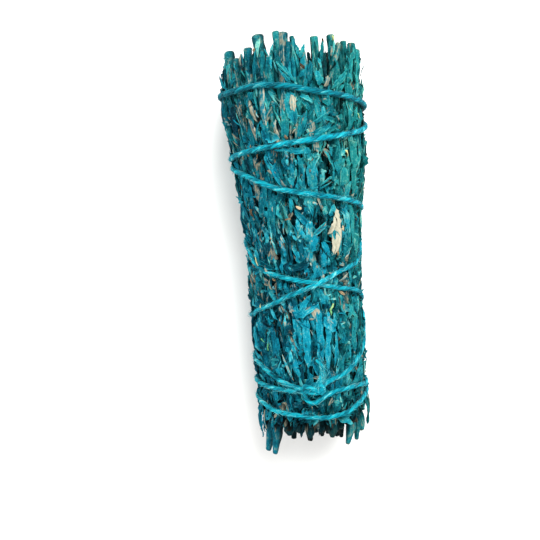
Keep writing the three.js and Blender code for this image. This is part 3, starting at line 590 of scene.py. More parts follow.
def stem(phi, depth, y, radius, seed, tip=1.0, foot=1.0, tip_from=None, **values):
    """A ribbed stem through places given by angle, depth below the bunch's surface and height, made smooth.

    The tip and the foot are the shares of its radius that it keeps at its ends: a torn one tapers to a
    splinter, over its last 6 mm or from the height tip_from.
    """
    span = max(y) - min(y)
    fine = np.linspace(0, 1, max(8, int(span / STEM_STEP)))
    share = np.linspace(0, 1, len(y))
    phi, depth, y = (np.interp(fine, share, v) for v in (phi, depth, y))
    wander = STEM_WANDER * (noise(y / 9, 0.5, seed) - 0.5)
    path = at(phi + wander / ARC_RADIUS, bunch_radius(phi, y) - depth + wander, y)
    knobs = np.maximum(0, noise(y / 2.2, 4.5, seed) - KNOB_FROM)
    thick = radius * (1 + 0.16 * (noise(y / 6, 2.5, seed) - 0.5) + KNOB_SIZE * knobs)
    narrowing = TIP_TAPER if tip_from is None else y[-1] - tip_from
    thick = thick * blend(1.0, tip, np.clip((y - y[-1] + narrowing) / narrowing, 0, 1))
    thick = thick * blend(foot, 1.0, np.clip(fine * span / FOOT_TAPER, 0, 1))
    values = {"hue": draw(seed, 11), **values}
    rib_count = 4 + int(3 * draw(seed, 2))
    return tube(path, thick, sides=12, ribs=0.09, rib_count=rib_count, rough=0.4, seed=seed, **values)


print("rings added at each stem end:", len(END_STEPS))

# %% [markdown]
# ## The sprigs
#
# Round the bunch lie 24 outer sprigs, then rings of 12 and 6, and one in the middle. Each outer sprig
# has a core of leaves matted together, its stem, the large shingled leaves of the solid it stands for,
# and many small ones that fill its surface. Leaves are strewn by a seeded generator, so that every run
# gives the same bunch.

# %% The outer sprigs' plan, the same as the solids'
OUTER_COUNT, MIDDLE_COUNT, INNER_COUNT = 24, 12, 6
OUTER_RING, MIDDLE_RING, INNER_RING = (0.67, 1.0), (0.41, 0.63), (0.15, 0.38)
CORE_BELOW_SKIN = 2.7
CORE_FROM, CORE_TO = -50.0, 49.0
FAN_FROM = 42.0
UPPER_SHELL, LOWER_SHELL = 0.95, 2.05
UPPER_BLADES, LOWER_BLADES = 8, 5
UPPER_WIDTH, LOWER_WIDTH = 3.8, 3.1
BLADE_LENGTH, BLADE_SPREAD = 14.0, 6.0
UPPER_SWING, LOWER_SWING = np.radians(12), np.radians(2)
HIDDEN_SWING = 0.7
UNDER_STRING, TIP_BELOW_SKIN = 1.15, 0.2
FOOT_SHARE = 0.5
UNDERSIDE = np.radians(118)
# How many leaves of each kind are strewn along an outer sprig
STREWN = {"pressed": 13, "deep": 22, "narrow": 20, "strips": 16, "flakes": 18, "slivers": 60, "crumbs": 56}
# Each outer stem's top: height, degrees and radius at the tip; its foot: height, degrees and depth
OUTER_TOPS = np.array([
    (55, -173, 1.2), (57, -158, 1.2), (54, -143, 1.3), (56, -127, 1.1), (58, -112, 1.2), (55, -98, 1.3),
    (54, -84, 1.2), (58, -70, 1.4), (55.5, -55, 0.75), (57.5, -42, 0.85), (60, -30, 1.5), (60.4, -14, 1.1),
    (59, -1, 0.6), (58.5, 17, 1.0), (59, 33, 1.05), (57.8, 48, 0.9), (57.6, 62, 1.1), (56.5, 76, 1.1),
    (57, 97, 1.3), (54, 112, 1.1), (58, 127, 1.2), (56, 143, 1.3), (55, 158, 1.1), (57, 173, 1.2),
])
OUTER_FEET = np.array([
    (-58, -172, 4.0), (-59.5, -157, 3.0), (-57, -143, 4.0), (-58.5, -128, 2.6), (-56, -112, 4.0),
    (-57, -97, 2.2), (-55, -86, 1.8), (-60.4, -69, 1.1), (-60.0, -53, 1.1), (-54, -36, 3.6),
    (-53, -22, 4.2), (-54.5, -9, 4.4), (-53, 7, 4.2), (-54.8, 21, 3.8), (-52.8, 34, 4.3),
    (-57.2, 36.5, 1.5), (-57.2, 52, 1.4), (-55.6, 66, 1.3), (-57, 97, 3.0), (-59, 113, 2.6),
    (-57.5, 128, 4.0), (-59, 143, 2.8), (-58, 157, 4.0), (-57, 172, 3.2),
])
print("outer stem tips reach", OUTER_FEET[:, 0].min(), "to", OUTER_TOPS[:, 0].max(), "mm")


# %% Matted core
# Its furrows: width and length in mm, and seed, of the broad and the narrow ones, and how deep they are
FURROWS, FURROW_DEPTHS = ((1.5, 8, 3.0), (0.55, 3.5, 7.0)), (1.1, 0.7)
CORE_HOLLOW = 0.8  # the share of a gap's depth that the core is pressed in
# Its ends: drawn in over this length, to this share of its width, and by so much at its back and below
TUCK, TUCK_WIDTH, TUCK_BACK, TUCK_UNDER = 3.0, 0.75, 1.6, 0.8


def core(phi, half_angle, inner, skin_depth, start, end, seed, rings=100, across=12, relief=1.0):
    """A wedge of the ring, closed at its ends. Two value noises, both long and narrow, raise its back."""
    y = np.linspace(start, end, rings)[:, None]
    tuck = smooth_step(np.minimum(y - start, end - y), 0, TUCK)
    half = half_angle * blend(TUCK_WIDTH, 1.0, tuck)
    back = phi + half * np.linspace(-1, 1, across)
    under = phi + half * np.linspace(1, -1, 5)  # half is a column, so both are grids
    arc = back * ARC_RADIUS
    broad, narrow = (noise(arc / wide, y / long + seed, own) for wide, long, own in FURROWS)
    broad_depth, narrow_depth = FURROW_DEPTHS
    furrows = broad_depth * (0.5 - broad) + narrow_depth * (0.5 - narrow) + CORE_HOLLOW * hollow(back, y)
    depth = skin_depth + relief * furrows + (1 - tuck) * TUCK_BACK
    top = at(back, tied_radius(back, y) - depth, y)
    low = at(under, inner * bunch_radius(phi, y) + (1 - tuck) * TUCK_UNDER, y)
    points = np.concatenate([top, low], 1)
    sides = points.shape[1]
    middles = points[[0, -1]].mean(axis=1)
    arc_round = np.concatenate([back, under], 1) * ARC_RADIUS
    grain = np.stack(np.broadcast_arrays(arc_round, y, seed * 9.0), -1)
    grain = np.concatenate([grain.reshape(-1, 3), [[phi * ARC_RADIUS, start, 0], [phi * ARC_RADIUS, end, 0]]])
    quads, triangles = tube_faces(rings, sides)
    # The core's tint is low, and lowest in its furrows, on its underside and at its ends: painted shade in
    # the gaps between the leaves.
    raised = np.concatenate([narrow * broad, np.zeros(under.shape)], 1)
    tint = np.concatenate([blend(0.15, 0.5, raised).ravel(), [0.1, 0.1]])
    hue = noise(arc_round / 2.2, y / 9, seed + 0.5)
    hue = np.concatenate([hue.ravel(), [0.5, 0.5]])
    points = np.concatenate([points.reshape(-1, 3), middles])
    return shape(points, quads, triangles, grain, tint=tint, hue=hue)


print("furrows in a core, width and length in mm:", [furrow[:2] for furrow in FURROWS])


# %% Large shingled leaves, where the solids have theirs
def shingles(rng, k):
    """The large leaves of outer sprig k: the same heights, widths, leans and layers as in its solid."""
    upper = k % 2 == 0
    count = UPPER_BLADES if upper else LOWER_BLADES
    j = np.arange(count)
    seed = 100 * (k + 1) + j
    wide = upper & (j < count - 1)
    step = (CORE_TO - CORE_FROM - BLADE_LENGTH - 2) / (count - 1)
    length = BLADE_LENGTH + BLADE_SPREAD * draw(seed, 2)
    width = np.where(wide, UPPER_WIDTH + 1.2 * draw(seed, 3), LOWER_WIDTH + 0.5 * draw(seed, 3))
    lean = np.where(wide, UPPER_SWING, LOWER_SWING) * (2 * draw(seed, 6) - 1)
    foot = CORE_FROM + 2 + step * (j + 0.3 * (draw(seed, 5) - 0.5))
    depth = UPPER_SHELL if upper else LOWER_SHELL
    phi = -np.pi + (k + 0.5) * 2 * np.pi / OUTER_COUNT + length / 2 * np.sin(lean) / ARC_RADIUS
    return leaves(
        rng, LARGE, phi, foot + length / 2 * np.cos(lean), length, width * 1.05,
        np.full(count, CORE_BELOW_SKIN), lean=lean, end_depth=depth - 0.15, arch=0.75 if upper else 0.35,
        fold=rng.uniform(-0.25, 0.15, count), curl=rng.uniform(-0.25, 0.15, count), ragged=0.3, crumple=0.55,
        thick=0.45, blunt=rng.uniform(2, 5, count), tint=rng.uniform(0.3, 0.75, count),
        bare=rng.uniform(0, 0.75, count) ** 2)


print("an upper sprig has", UPPER_BLADES, "large leaves, a lower one", LOWER_BLADES)


# %% Strewn leaves
def strewn(rng, grid, phi, half_angle, count, y_range, depth, length, width,
           lean=0.16, bare=0.3, tint=(0.25, 0.8), **given):
    """Leaves at random places in a cell of the bunch, each within the given ranges."""
    middle = rng.uniform(*depth, count)
    own = {"end_depth": middle - rng.uniform(-0.2, 0.9, count), "fold": rng.normal(0, 0.4, count),
           "curl": rng.normal(0, 0.35, count), "twist": rng.normal(0, 0.25, count),
           "bend": rng.normal(0, 0.035, count), "skew": rng.uniform(0.6, 1.6, count),
           "blunt": rng.uniform(1.6, 6.0, count), "ragged": 0.4, "crumple": 0.45, "thick": 0.24}
    own.update(given)
    return leaves(
        rng, grid, phi + rng.uniform(-half_angle, half_angle, count), rng.uniform(*y_range, count),
        rng.uniform(*length, count), rng.uniform(*width, count), middle,
        lean=rng.normal(0, lean, count), tint=rng.uniform(*tint, count),
        bare=bare * rng.random(count) ** 3, **own)


print("leaves strewn along an outer sprig:", sum(STREWN.values()))


# %% Leaves with a place of their own
DYED, WOOD, TAN, FRESH, PALE, FLAT = range(6)  # the last two are dyed too
# Each leaf: degrees and height of its start, the same of its end, width, lift, tint, hue and fold
PLACED = {
    DYED: [
        (-87, 53.3, -68, 47.8, 1.3, 0.3, 0.85, 0.4, 0.3), (-13, 52.9, 0, 47.3, 1.5, 0.6, 0.75, 0.4, 0.4),
        (-13, 51.3, -4, 47.1, 1.2, 0.5, 0.65, 0.4, 0.3), (8, 56.8, 4, 53.5, 1.3, 0.3, 0.7, 0.4, 0.4),
        (2, 56.6, 5, 53.5, 1.2, 0.3, 0.6, 0.4, 0.4), (7, 50.4, 3, 48.6, 1.2, 0.6, 0.7, 0.4, 0.5),
        (12, 52.3, 11, 46.7, 2.2, 0.4, 0.35, 0, 0.1), (23, 57.8, 20, 51.7, 1.8, 0.2, 0.42, 0.4, 0.3),
        (16, 49.8, 18, 46.4, 2.4, 0.7, 0.8, 0.3, 0.6), (17, 53.3, 20, 50.6, 0.9, 0.7, 0.95, 0.3, 0.3),
        (64, 56.3, 62, 47.9, 1.6, 0.2, 0.6, 0.8, 0.3), (59, 57.2, 44, 50.2, 2.6, 0.2, 0.62, 0.7, 0.5),
        (44, 50.2, 30, 45.4, 2.4, 0.5, 0.7, 0.6, 0.5), (46, 49.2, 50, 47, 1.5, 0.7, 0.85, 0.5, 0.3),
        (54, 49.7, 57, 45.6, 1.5, 0.5, 0.8, 0.7, 0.3),
        (3, 43.7, 12, 41.7, 1.6, 0.7, 0.85, 0.2, 0.4), (19, 42.8, 25, 41, 1.5, 0.7, 0.6, 0.6, 0.6),
        (4, 42.8, 9, 40, 1.4, 0.4, 0.45, 0.3, 0.3), (-5, 44.9, -2, 36.8, 4.1, 1.2, 0.66, 0.1, 0.1),
        (14, 43.1, 18, 36.9, 1.8, 0.5, 0.62, 0.6, 0.3), (-61, 41.2, -47, 36.9, 0.9, 0.3, 0.8, 0.2, 0.3),
        (-38, 44, -42, 31.5, 3.3, 0.8, 0.5, 0.5, 0.1), (-20, 43.3, -23, 32.4, 1.5, 0.4, 0.62, 0.6, 0.3),
        (28, 39.6, 3, 35.4, 1.7, 0.3, 0.6, 0.3, 0.4), (19, 37.9, 29, 36.6, 1.5, 0.8, 0.7, 0.6, 0.5),
        (46, 40.1, 45, 34, 1.7, 0.4, 0.66, 0.1, 0.3), (60, 39.2, 60, 34.6, 2.1, 0.3, 0.6, 0.8, 0.2),
        (7, 39.9, -1, 32.8, 2.2, 0.3, 0.6, 0.3, 0.2), (-29, 38.1, -23, 32.4, 1.5, 0.6, 0.6, 0.3, 0.5),
        (30, 37.4, 4, 33.1, 2, 0.5, 0.7, 0.3, 0.4), (-29, 38.1, -37, 32.2, 1.2, 0.6, 0.7, 0.3, 0.5),
        (34, 35.4, 7, 31.4, 2, 0.5, 0.55, 0.3, 0.4), (-25, 30.5, -7, 29.8, 1, 0.5, 0.75, 0.4, 0.3),
        (-9, 29.8, 9, 29.4, 2, 0.5, 0.7, 0.3, 0.3), (19, 29.3, 24, 26.3, 0.9, 0.8, 0.8, 0.3, 0.3),
        (-2, 28.9, 0, 25.2, 1.3, 0.5, 0.6, 0.3, 0.2), (-11, 27.5, -11, 26.2, 1, 0.7, 0.95, 0.3, 0.2),
        (-4, 27.1, -4, 25.8, 0.9, 0.7, 0.95, 0.3, 0.2), (-29, 29.3, -20, 23.1, 1.9, 0.6, 0.68, 0.3, 0.2),
        (38, 26.8, 34, 25.2, 1.5, 0.8, 0.78, 0.7, 0.2), (59, 28.4, 59, 23.5, 1.2, 0.6, 0.95, 0.3, 0.3),
        (46, 26.2, 41, 24.1, 1.8, 0.8, 0.74, 0.7, 0.2), (24, 26.3, 28, 23.6, 0.9, 0.8, 0.8, 0.3, 0.3),
        (-7, 26.1, -7, 22.5, 1.7, 0.5, 0.6, 0.1, 0.2), (19, 23.9, 20, 23.4, 0.6, 0.9, 1.1, 0.1, 0.1),
        (10, 27.7, 11, 18.6, 3.6, 0.3, 0.78, 0.1, 0.1), (45, 28.9, 44, 16.9, 2.7, 0.4, 0.62, 0.8, 0.2),
        (28, 23.6, 28, 21.1, 0.9, 0.8, 0.7, 0.3, 0.3),
        (30, 25.9, 39, 17.3, 2.3, 0.4, 0.64, 0.3, 0.1), (-20, 23.4, -13, 19.8, 1.8, 0.6, 0.62, 0.4, 0.3),
        (27, 22, 17, 20.2, 0.8, 0.8, 0.75, 0.3, 0.4), (27, 20.9, 13, 18.9, 0.7, 0.7, 0.75, 0.3, 0.4),
        (17, 20.2, 7, 19.4, 0.8, 0.8, 0.7, 0.3, 0.4), (-27, 18.3, -29, 13.4, 0.7, 0.6, 0.95, 0.2, 0.3),
        (-11, 16.9, -11, 13.1, 1.3, 0.6, 0.85, 0.2, 0.2), (5, 14.7, 8, 11.7, 1, 0.6, 0.75, 0.3, 0.4),
        (20, 14, 20, 11.8, 1.8, 0.8, 0.72, 0.5, 0.2), (29, 14.4, 25, 11.4, 2.4, 0.8, 0.9, 0, 0.2),
        (4, 13.2, 5, 12.5, 0.6, 0.8, 1.1, 0, 0.1), (-30, 15.8, -33, 7.8, 1.7, 0.5, 0.68, 0.6, 0.2),
        (-6, 11.4, -6, 7.9, 1.5, 0.6, 0.95, 0.1, 0.2), (-62, 11.3, -63, 7.1, 0.5, 0.3, 0.95, 0.6, 0.3),
        (20, 9.6, 8, 6.6, 0.8, 0.9, 0.75, 0.7, 0.3), (4, 9.8, 3, 5.1, 1.8, 0.5, 0.95, 0, 0.2),
        (21, 8.7, 7, 5.9, 1, 0.8, 0.9, 0.1, 0.3), (-3, 8.1, 0, 5.9, 1.5, 0.6, 1.05, 0, 0.2),
        (48, 13.2, 48, -0.2, 1.9, 0.4, 0.6, 0.7, 0.1), (-11, 6.6, -7, 5.4, 1.2, 0.8, 1, 0, 0.2),
        (-36, 7, -39, 4.2, 1.5, 0.7, 0.85, 0.3, 0.2), (10, 6.7, 5, 1.7, 3.8, 0.5, 0.8, 0.1, -0.1),
        (82, 4.5, 82, 1.2, 0.8, 0.3, 0.9, 0.7, 0.4), (55, 5.2, 63, 0.4, 0.8, 0.6, 0.9, 0.7, 0.4),
        (17, 3.9, 24, -0.2, 2.1, 0.4, 0.72, 0.2, 0.2), (-20, 2.4, -20, 0.7, 1.1, 0.7, 0.85, 0.1, 0.3),
        (17, 1.2, 18, -2.9, 2.2, 0.8, 0.82, 0.4, 0.2), (22, -0.3, 23, -2.8, 1.5, 0.7, 0.8, 0.5, 0.2),
        (-24, -0.9, -24, -4.4, 1.2, 0.6, 0.72, 0.3, 0.5), (-31, -2.4, -29, -3, 0.8, 0.8, 1, 0.2, 0.2),
        (-17, -2.3, -15, -3.2, 0.9, 0.8, 1, 0.2, 0.2), (7, -2.2, 11, -5.8, 2.1, 0.5, 0.66, 0.3, 0.2),
        (83, -6, 57, -8, 1.1, 0.6, 1, 0.9, 0.4), (-56, -3.5, -62, -12.1, 2.7, 0.3, 0.42, 0.5, -0.1),
        (-27, -6.8, -28, -8.9, 1.4, 0.6, 0.6, 0.5, 0.2), (-23, -7.3, -20, -10, 1.6, 0.6, 0.58, 0.5, 0.3),
        (23, -10.9, 19, -11.7, 0.5, 1, 1, 0.3, 0.1), (12, -9.6, 17, -13.6, 3.6, 0.7, 0.78, 0.1, 0.1),
        (19, -12, 20, -12.7, 0.8, 1, 1, 0.3, 0.1), (-11, -16.9, 2, -10.9, 2, 0.9, 0.8, 0.1, 0.3),
        (-11, -16.8, 9, -13.1, 2, 1, 0.88, 0.1, 0.4), (-43, -14.6, -37, -17.6, 0.7, 0.7, 0.95, 0.3, 0.4),
        (-41, -14.8, -34, -17.8, 0.7, 0.6, 0.8, 0.3, 0.4), (46, -14.4, 44, -18.3, 2.2, 0.6, 0.85, 0.9, 0.2),
        (37, -15.8, 37, -17.4, 0.9, 0.9, 1.05, 0.7, 0.2), (9, -13.3, 9, -20.9, 2.5, 0.6, 0.75, 0, 0.1),
        (-51, -17.4, -40, -18.3, 0.8, 0.6, 0.8, 0.3, 0.4), (27, -15.6, 26, -20.4, 1.6, 0.7, 0.88, 0, 0.2),
        (-12, -18, -1, -20.8, 0.8, 0.9, 0.8, 0.3, 0.3), (-3, -16.8, -4, -31.7, 2.6, 0.7, 0.82, 0, 0.1),
        (8, -18.5, 5, -33.1, 2.6, 0.6, 0.75, 0, 0.1), (17, -20, 15, -34.1, 2.4, 0.6, 0.85, 0, 0.1),
        (26, -21.6, 23, -32.7, 2.1, 0.5, 0.72, 0.1, 0.1), (-21, -26.3, -21, -30.5, 1.8, 0.7, 1, 0, 0.2),
        (-84, -46, -82, -55.2, 2.6, 0.5, 0.55, 0.2, 0.2), (-78, -46.5, -78, -53, 2.2, 0.4, 0.6, 0.1, 0.4),
        (-71, -47, -74, -56.5, 1.5, 0.7, 0.65, 0.3, 0.3), (-62, -48, -66, -54, 1.2, 0.4, 0.4, 0.5, 0.3),
        (-50, -48, -46, -56, 1.3, 0.5, 0.3, 0.6, 0.3), (82, -42.5, 85, -52.4, 2.8, 1.0, 0.6, 1, 0.2),
        (80, -46, 84, -55.6, 2.6, 0.9, 0.4, 1, 0.2), (74, -46, 74, -54, 2.0, 0.6, 0.35, 0.9, 0.3),
        (92, -45, 92, -54, 1.8, 0.9, 0.5, 1, 0.2), (94, 24, 92, 10, 1.6, 1.4, 0.6, 0.9, 0.2),
        (88, 6, 90, -4, 1.7, 1.3, 0.55, 1, 0.2), (86, 17, 88, 8, 1.4, 1.5, 0.6, 0.8, 0.3),
    ],
    FLAT: [
        (49, 33.7, 54, 16.9, 2.9, 0.55, 0.6, 0.95, 0.08), (63, 33.5, 82, 15.7, 2.0, 0.5, 0.5, 1, 0.08),
        (51, 14.1, 55, -2.1, 2.3, 0.5, 0.62, 0.95, 0.08), (82, 11.8, 83, -3.3, 2.0, 0.5, 0.5, 1, 0.08),
        (-26, 18.7, -29, 6.5, 1.9, 0.6, 0.5, 0.5, 0.08), (-36, 20.8, -40, 11.7, 1.7, 0.5, 0.4, 0.6, 0.08),
        (-11, 41.5, -12, 33.2, 2.0, 0.55, 0.55, 0.7, 0.08),
        (37, -11.3, 36, -25.8, 2.2, 0.55, 0.66, 0.6, 0.08),
        (51, -13.2, 50, -28.8, 1.9, 0.5, 0.6, 0.9, 0.08),
        (-41, -20.0, -40, -32.7, 1.7, 0.55, 0.5, 0.2, 0.08),
        (-48, 32.0, -44, 22.5, 1.8, 0.45, 0.4, 0.6, 0.08),
    ],
    PALE: [
        (-63, -47, -62, -52.5, 0.9, 0.7, 0.6, 0.2, 0.3), (87, -44, 90, -51, 0.6, 1.5, 0.6, 0.1, 0.2),
        (25, 48.4, 23, 46, 1.6, 1.1, 0.5, 0.18, 0.1), (29, 56, 29, 53.6, 1.2, 0.75, 0.45, 0, 0.2),
        (-9, 57.5, -9, 53, 1.1, 0.85, 0.4, 0, 0.2), (-44, 56, -44, 52, 1, 0.55, 0.3, 0, 0.2),
        (19, 42.5, 24, 42.8, 0.6, 1.05, 0.5, 0, 0.1), (-4, 44, -3, 40, 2.0, 1.7, 0.7, 0.2, 0.1),
        (-37, 44, -32, 38.3, 1.3, 1.3, 0.5, 0.18, 0.1), (28, 41.4, 23, 39, 0.4, 0.95, 0.5, 0, 0.1),
        (-32, 40.4, -31, 39.3, 0.6, 0.65, 0.8, 0, 0.1), (-13, 40.8, -13, 38.3, 0.6, 0.75, 0.7, 0, 0.2),
        (-19, 40.1, -20, 38.1, 0.5, 0.85, 0.75, 0, 0.1), (6, 39.4, 2, 36.4, 0.6, 0.75, 0.45, 0, 0.1),
        (59, 38.1, 60, 37.3, 0.6, 0.75, 0.8, 0, 0.1), (31, 38.1, 33, 37.1, 1, 0.95, 0.55, 0, 0.2),
        (-17, 37.9, -18, 35, 1.2, 1.1, 0.6, 0.15, 0.2), (-39, 38.8, -36, 33.4, 1.7, 1.2, 0.4, 0.18, 0.1),
        (8, 38.2, 3, 34.2, 0.6, 0.85, 0.62, 0, 0.1), (32, 35.9, 34, 34.9, 0.8, 0.95, 0.5, 0, 0.2),
        (-13, 35.4, -13, 34.2, 0.6, 0.65, 0.7, 0, 0.1), (-18, 35.7, -17, 31.9, 1.4, 1.1, 0.6, 0.2, 0.2),
        (-12, 29.1, -10, 27.8, 0.8, 0.75, 0.6, 0, 0.2), (-38, 29.1, -41, 25.9, 1.2, 0.55, 0.35, 0, 0.3),
        (-7, 28, -7, 26.3, 0.6, 0.75, 0.5, 0, 0.1), (7, 24.8, 7, 23.8, 0.6, 0.75, 0.5, 0, 0.1),
        (23, 23.9, 23, 23.1, 0.6, 1.05, 0.6, 0, 0.1), (12, 24, 13, 21.7, 0.6, 0.75, 0.5, 0, 0.1),
        (-18, 22.6, -14, 20.2, 0.8, 0.95, 0.45, 0, 0.2), (-10, 21.4, -8, 19.9, 1, 0.85, 0.62, 0, 0.2),
        (38, 19, 40, 17.8, 0.7, 0.85, 0.5, 0, 0.1), (50, 18.5, 52, 17.7, 0.6, 0.85, 0.6, 0, 0.1),
        (9, 15.5, 12, 14.8, 1, 0.95, 0.8, 0, 0.2), (-28, 15.1, -28, 13.4, 0.5, 0.85, 0.7, 0, 0.1),
        (-21, 13.5, -21, 12.8, 0.6, 0.75, 0.8, 0, 0.1), (-38, 13.5, -39, 12.4, 0.7, 0.75, 0.5, 0, 0.2),
        (-27, 13.3, -27, 12, 0.7, 0.75, 0.6, 0, 0.2), (38, 13.3, 42, 11.3, 0.6, 0.85, 0.7, 0, 0.2),
        (82, 12.4, 82, 11.2, 0.8, 0.55, 0.6, 0, 0.2), (-38, 11.9, -38, 10.5, 0.8, 0.75, 0.3, 0, 0.3),
        (31, 12.8, 33, 7.2, 2.2, 0.9, 0.8, 1, 0.3), (-23, 10.5, -23, 8.9, 0.8, 0.75, 0.5, 0, 0.2),
        (29, 11.1, 27, 6.7, 1.5, 0.9, 0.8, 1, 0.3), (-40, 10.7, -43, 7.9, 0.6, 0.75, 0.5, 0, 0.2),
        (-18, 10.6, -19, 7.2, 0.5, 0.95, 0.8, 0, 0.2), (20, 9.8, 10, 7.3, 0.4, 1.25, 0.5, 0, 0.1),
        (27, 9, 22, 6.5, 1.6, 1, 0.6, 1, 0.5), (-47, 7.5, -55, 5.1, 0.7, 0.95, 0.5, 0, 0.2),
        (37, 6.8, 38, 5.2, 0.8, 1.05, 0.7, 0, 0.2), (-22, 7, -19, 4.8, 1.4, 1.05, 0.85, 0, 0.3),
        (-46, 6.6, -44, 5.1, 0.6, 0.95, 0.45, 0, 0.2), (32, 9.8, 30, 0.5, 3.3, 1, 0.9, 1, 0.1),
        (-32, 5.5, -34, 4.1, 0.8, 0.75, 0.6, 0, 0.2), (-55, 5.3, -59, 3.9, 0.6, 0.85, 0.45, 0, 0.2),
        (-26, 5.6, -26, 3.3, 0.7, 0.65, 0.15, 0, 0.2), (-23, 5.2, -22, 3.3, 1.2, 1.05, 0.68, 0, 0.3),
        (25, 6.7, 27, 0.5, 1.3, 1.1, 0.8, 1, 0.3), (-22, 3.7, -19, 1.8, 1, 0.95, 0.62, 0, 0.3),
        (-48, 3.2, -47, 1.2, 0.8, 0.75, 0.4, 0, 0.3), (14, 2.3, 14, 0.5, 0.5, 0.95, 0.6, 0, 0.1),
        (-44, 2.8, -46, -0.2, 0.8, 0.75, 0.5, 0, 0.3), (-58, 2.3, -60, -0.7, 1.1, 0.85, 0.6, 0, 0.3),
        (-53, 1.7, -52, -1.1, 0.7, 0.85, 0.7, 0, 0.3), (49, 0.6, 42, -1.4, 0.6, 1.05, 0.7, 0, 0.1),
        (61, 0.3, 45, -2.2, 1.8, 0.6, 0.3, 0, 0.4), (4, -1.6, 5, -2.4, 0.8, 0.85, 0.6, 0, 0.2),
        (-42, -2.0, -38.5, -4.8, 1.2, 1.7, 0.8, 0.5, 0.2),
        (36, -2.7, 42, -3.5, 1, 0.75, 0.7, 0, 0.3), (0, -3.1, -1, -5.9, 1.6, 1.2, 0.62, 0, 0.5),
        (22, -4.8, 25, -5.6, 0.8, 1.8, 0.8, 0.4, 0.2), (-71, -5.1, -62, -6.9, 0.6, 0.75, 0.4, 0, 0.2),
        (-47, -5.7, -43, -6.6, 1, 0.75, 0.5, 0, 0.4), (46, -5.8, 32, -7.9, 1, 0.95, 0.6, 0, 0.4),
        (-46, -6.9, -41, -7.8, 1, 0.75, 0.3, 0, 0.4), (-40, -6.3, -38, -8.8, 0.8, 0.85, 0.55, 0, 0.3),
        (-15, -6.8, -13, -9.4, 1.9, 0.7, 0.42, 0, 0.4), (-35, -8, -34, -8.7, 0.6, 0.95, 0.8, 0, 0.1),
        (-32, -7.4, -32, -11.8, 0.5, 0.85, 0.4, 0, 0.2), (15, -10, 17, -11.5, 0.6, 1.15, 0.5, 0, 0.1),
        (-2, -11.1, 1, -12.1, 0.7, 1.05, 0.7, 0, 0.2), (-42, -10.6, -46, -12.7, 0.7, 0.75, 0.5, 0, 0.2),
        (-18, -12.4, -17, -15.4, 1.4, 0.9, 0.62, 0, 0.5), (-6, -14.2, -2, -14.1, 0.5, 1.35, 0.6, 0, 0.1),
        (37, -12, 36, -16.3, 1.2, 0.85, 0.5, 0, -0.3), (33, -12.3, 32, -16.2, 0.8, 0.65, 0.15, 0, 0.3),
        (-20, -13.7, -15, -15, 1.1, 1.05, 0.6, 0, 0.3), (-6, -15.7, 9, -13.1, 0.5, 1.35, 0.5, 0, 0.1),
        (-28, -13.7, -23, -15.8, 0.8, 0.75, 0.25, 0, 0.3), (-30, -13.9, -27, -15.7, 0.8, 0.95, 0.7, 0, 0.3),
        (28, -15.7, 30, -16.8, 0.8, 0.95, 0.5, 0, 0.2), (-16, -15.3, -14, -17.2, 1.2, 0.75, 0.4, 0, 0.3),
        (-29, -16.4, -29, -18.1, 1, 0.95, 0.6, 0, 0.3), (18, -16.2, 18, -19.4, 1, 0.95, 0.78, 0, 0.3),
        (-24, -16.7, -24, -19.3, 0.7, 0.95, 0.9, 0, 0.3), (-13, -17.6, -7, -19.1, 0.7, 1.05, 0.6, 0, 0.3),
        (34, -17.4, 35, -19.4, 1, 0.75, 0.35, 0, 0.3), (-11, -17.8, -1, -20.3, 0.4, 1.25, 0.6, 0, 0.1),
        (27, -19.2, 39, -20, 0.7, 0.95, 0.55, 0, 0.3), (-1, -20.5, 5, -24.4, 0.5, 1.25, 0.55, 0, 0.1),
        (-19, -25.8, -18, -27, 0.6, 1.05, 0.8, 0, 0.1), (5, -24.4, 9, -29.6, 0.5, 1.15, 0.55, 0, 0.1),
    ],
    TAN: [
        (4, 51.9, 7, 50.6, 1.0, 0.4, 0.4, 0, 0.3), (-31, 57, -31, 56, 0.9, 0.5, 0.7, 0, 0.2),
        (23, 58, 22, 56.8, 1.0, 0.2, 0.35, 0, 0.2),
        (-11, 33.9, -10, 33, 1, 0.7, 0.8, 0, 0.3), (-42, 32.2, -42, 31.3, 0.5, 0.7, 0.7, 0, 0.3),
        (-48, 30.3, -47, 29.3, 0.7, 0.7, 0.7, 0, 0.3), (-37, 29.5, -38, 28.5, 0.7, 0.6, 0.85, 0, 0.2),
        (51, 28.2, 52, 27.7, 0.6, 0.6, 0.35, 0, 0.1), (-70, 21.6, -64, 19.9, 1.2, 0.4, 0.45, 0, 0.3),
        (45, 18.2, 48, 17.1, 0.6, 0.7, 0.5, 0, 0.1), (-6, 14.7, -2, 14, 0.9, 1, 1, 0, 0.2),
        (-54, 14.2, -54, 12.4, 1.2, 0.9, 0.6, 0, 0.3), (-28, 11.9, -28, 11, 0.7, 0.6, 0.9, 0, 0.2),
        (-17, 11.1, -12, 11.3, 0.6, 0.7, 0.8, 0, 0.2), (78, 11.1, 82, 10.1, 0.6, 0.4, 0.5, 0, 0.2),
        (38, 8.1, 38, 6.5, 1, 0.9, 1, 0, 0.2), (54, 6.9, 57, 5.6, 0.9, 0.7, 0.45, 0, 0.2),
        (-33, 6.5, -32, 5.5, 0.6, 0.8, 0.8, 0, 0.2), (32, 1.1, 33, -0.2, 0.8, 1, 0.8, 0, 0.2),
        (0, -4.2, -1, -5.4, 0.6, 1.4, 0.35, 0, 0.1), (77, -4.2, 83, -5.9, 1.1, 0.3, 0.6, 0, 0.2),
        (-36, -5.7, -33, -6.3, 0.7, 0.7, 0.8, 0, 0.2), (33, -10.7, 40, -12, 1, 0.8, 0.9, 0, 0.3),
        (-4, -10.9, -1, -12, 0.7, 0.9, 0.5, 0, 0.2), (-4, -11.2, -3, -12.3, 0.7, 0.9, 1, 0, 0.2),
        (-87, -12, -87, -16.8, 0.9, 0.3, 0.3, 0, 0.3),
    ],
    FRESH: [
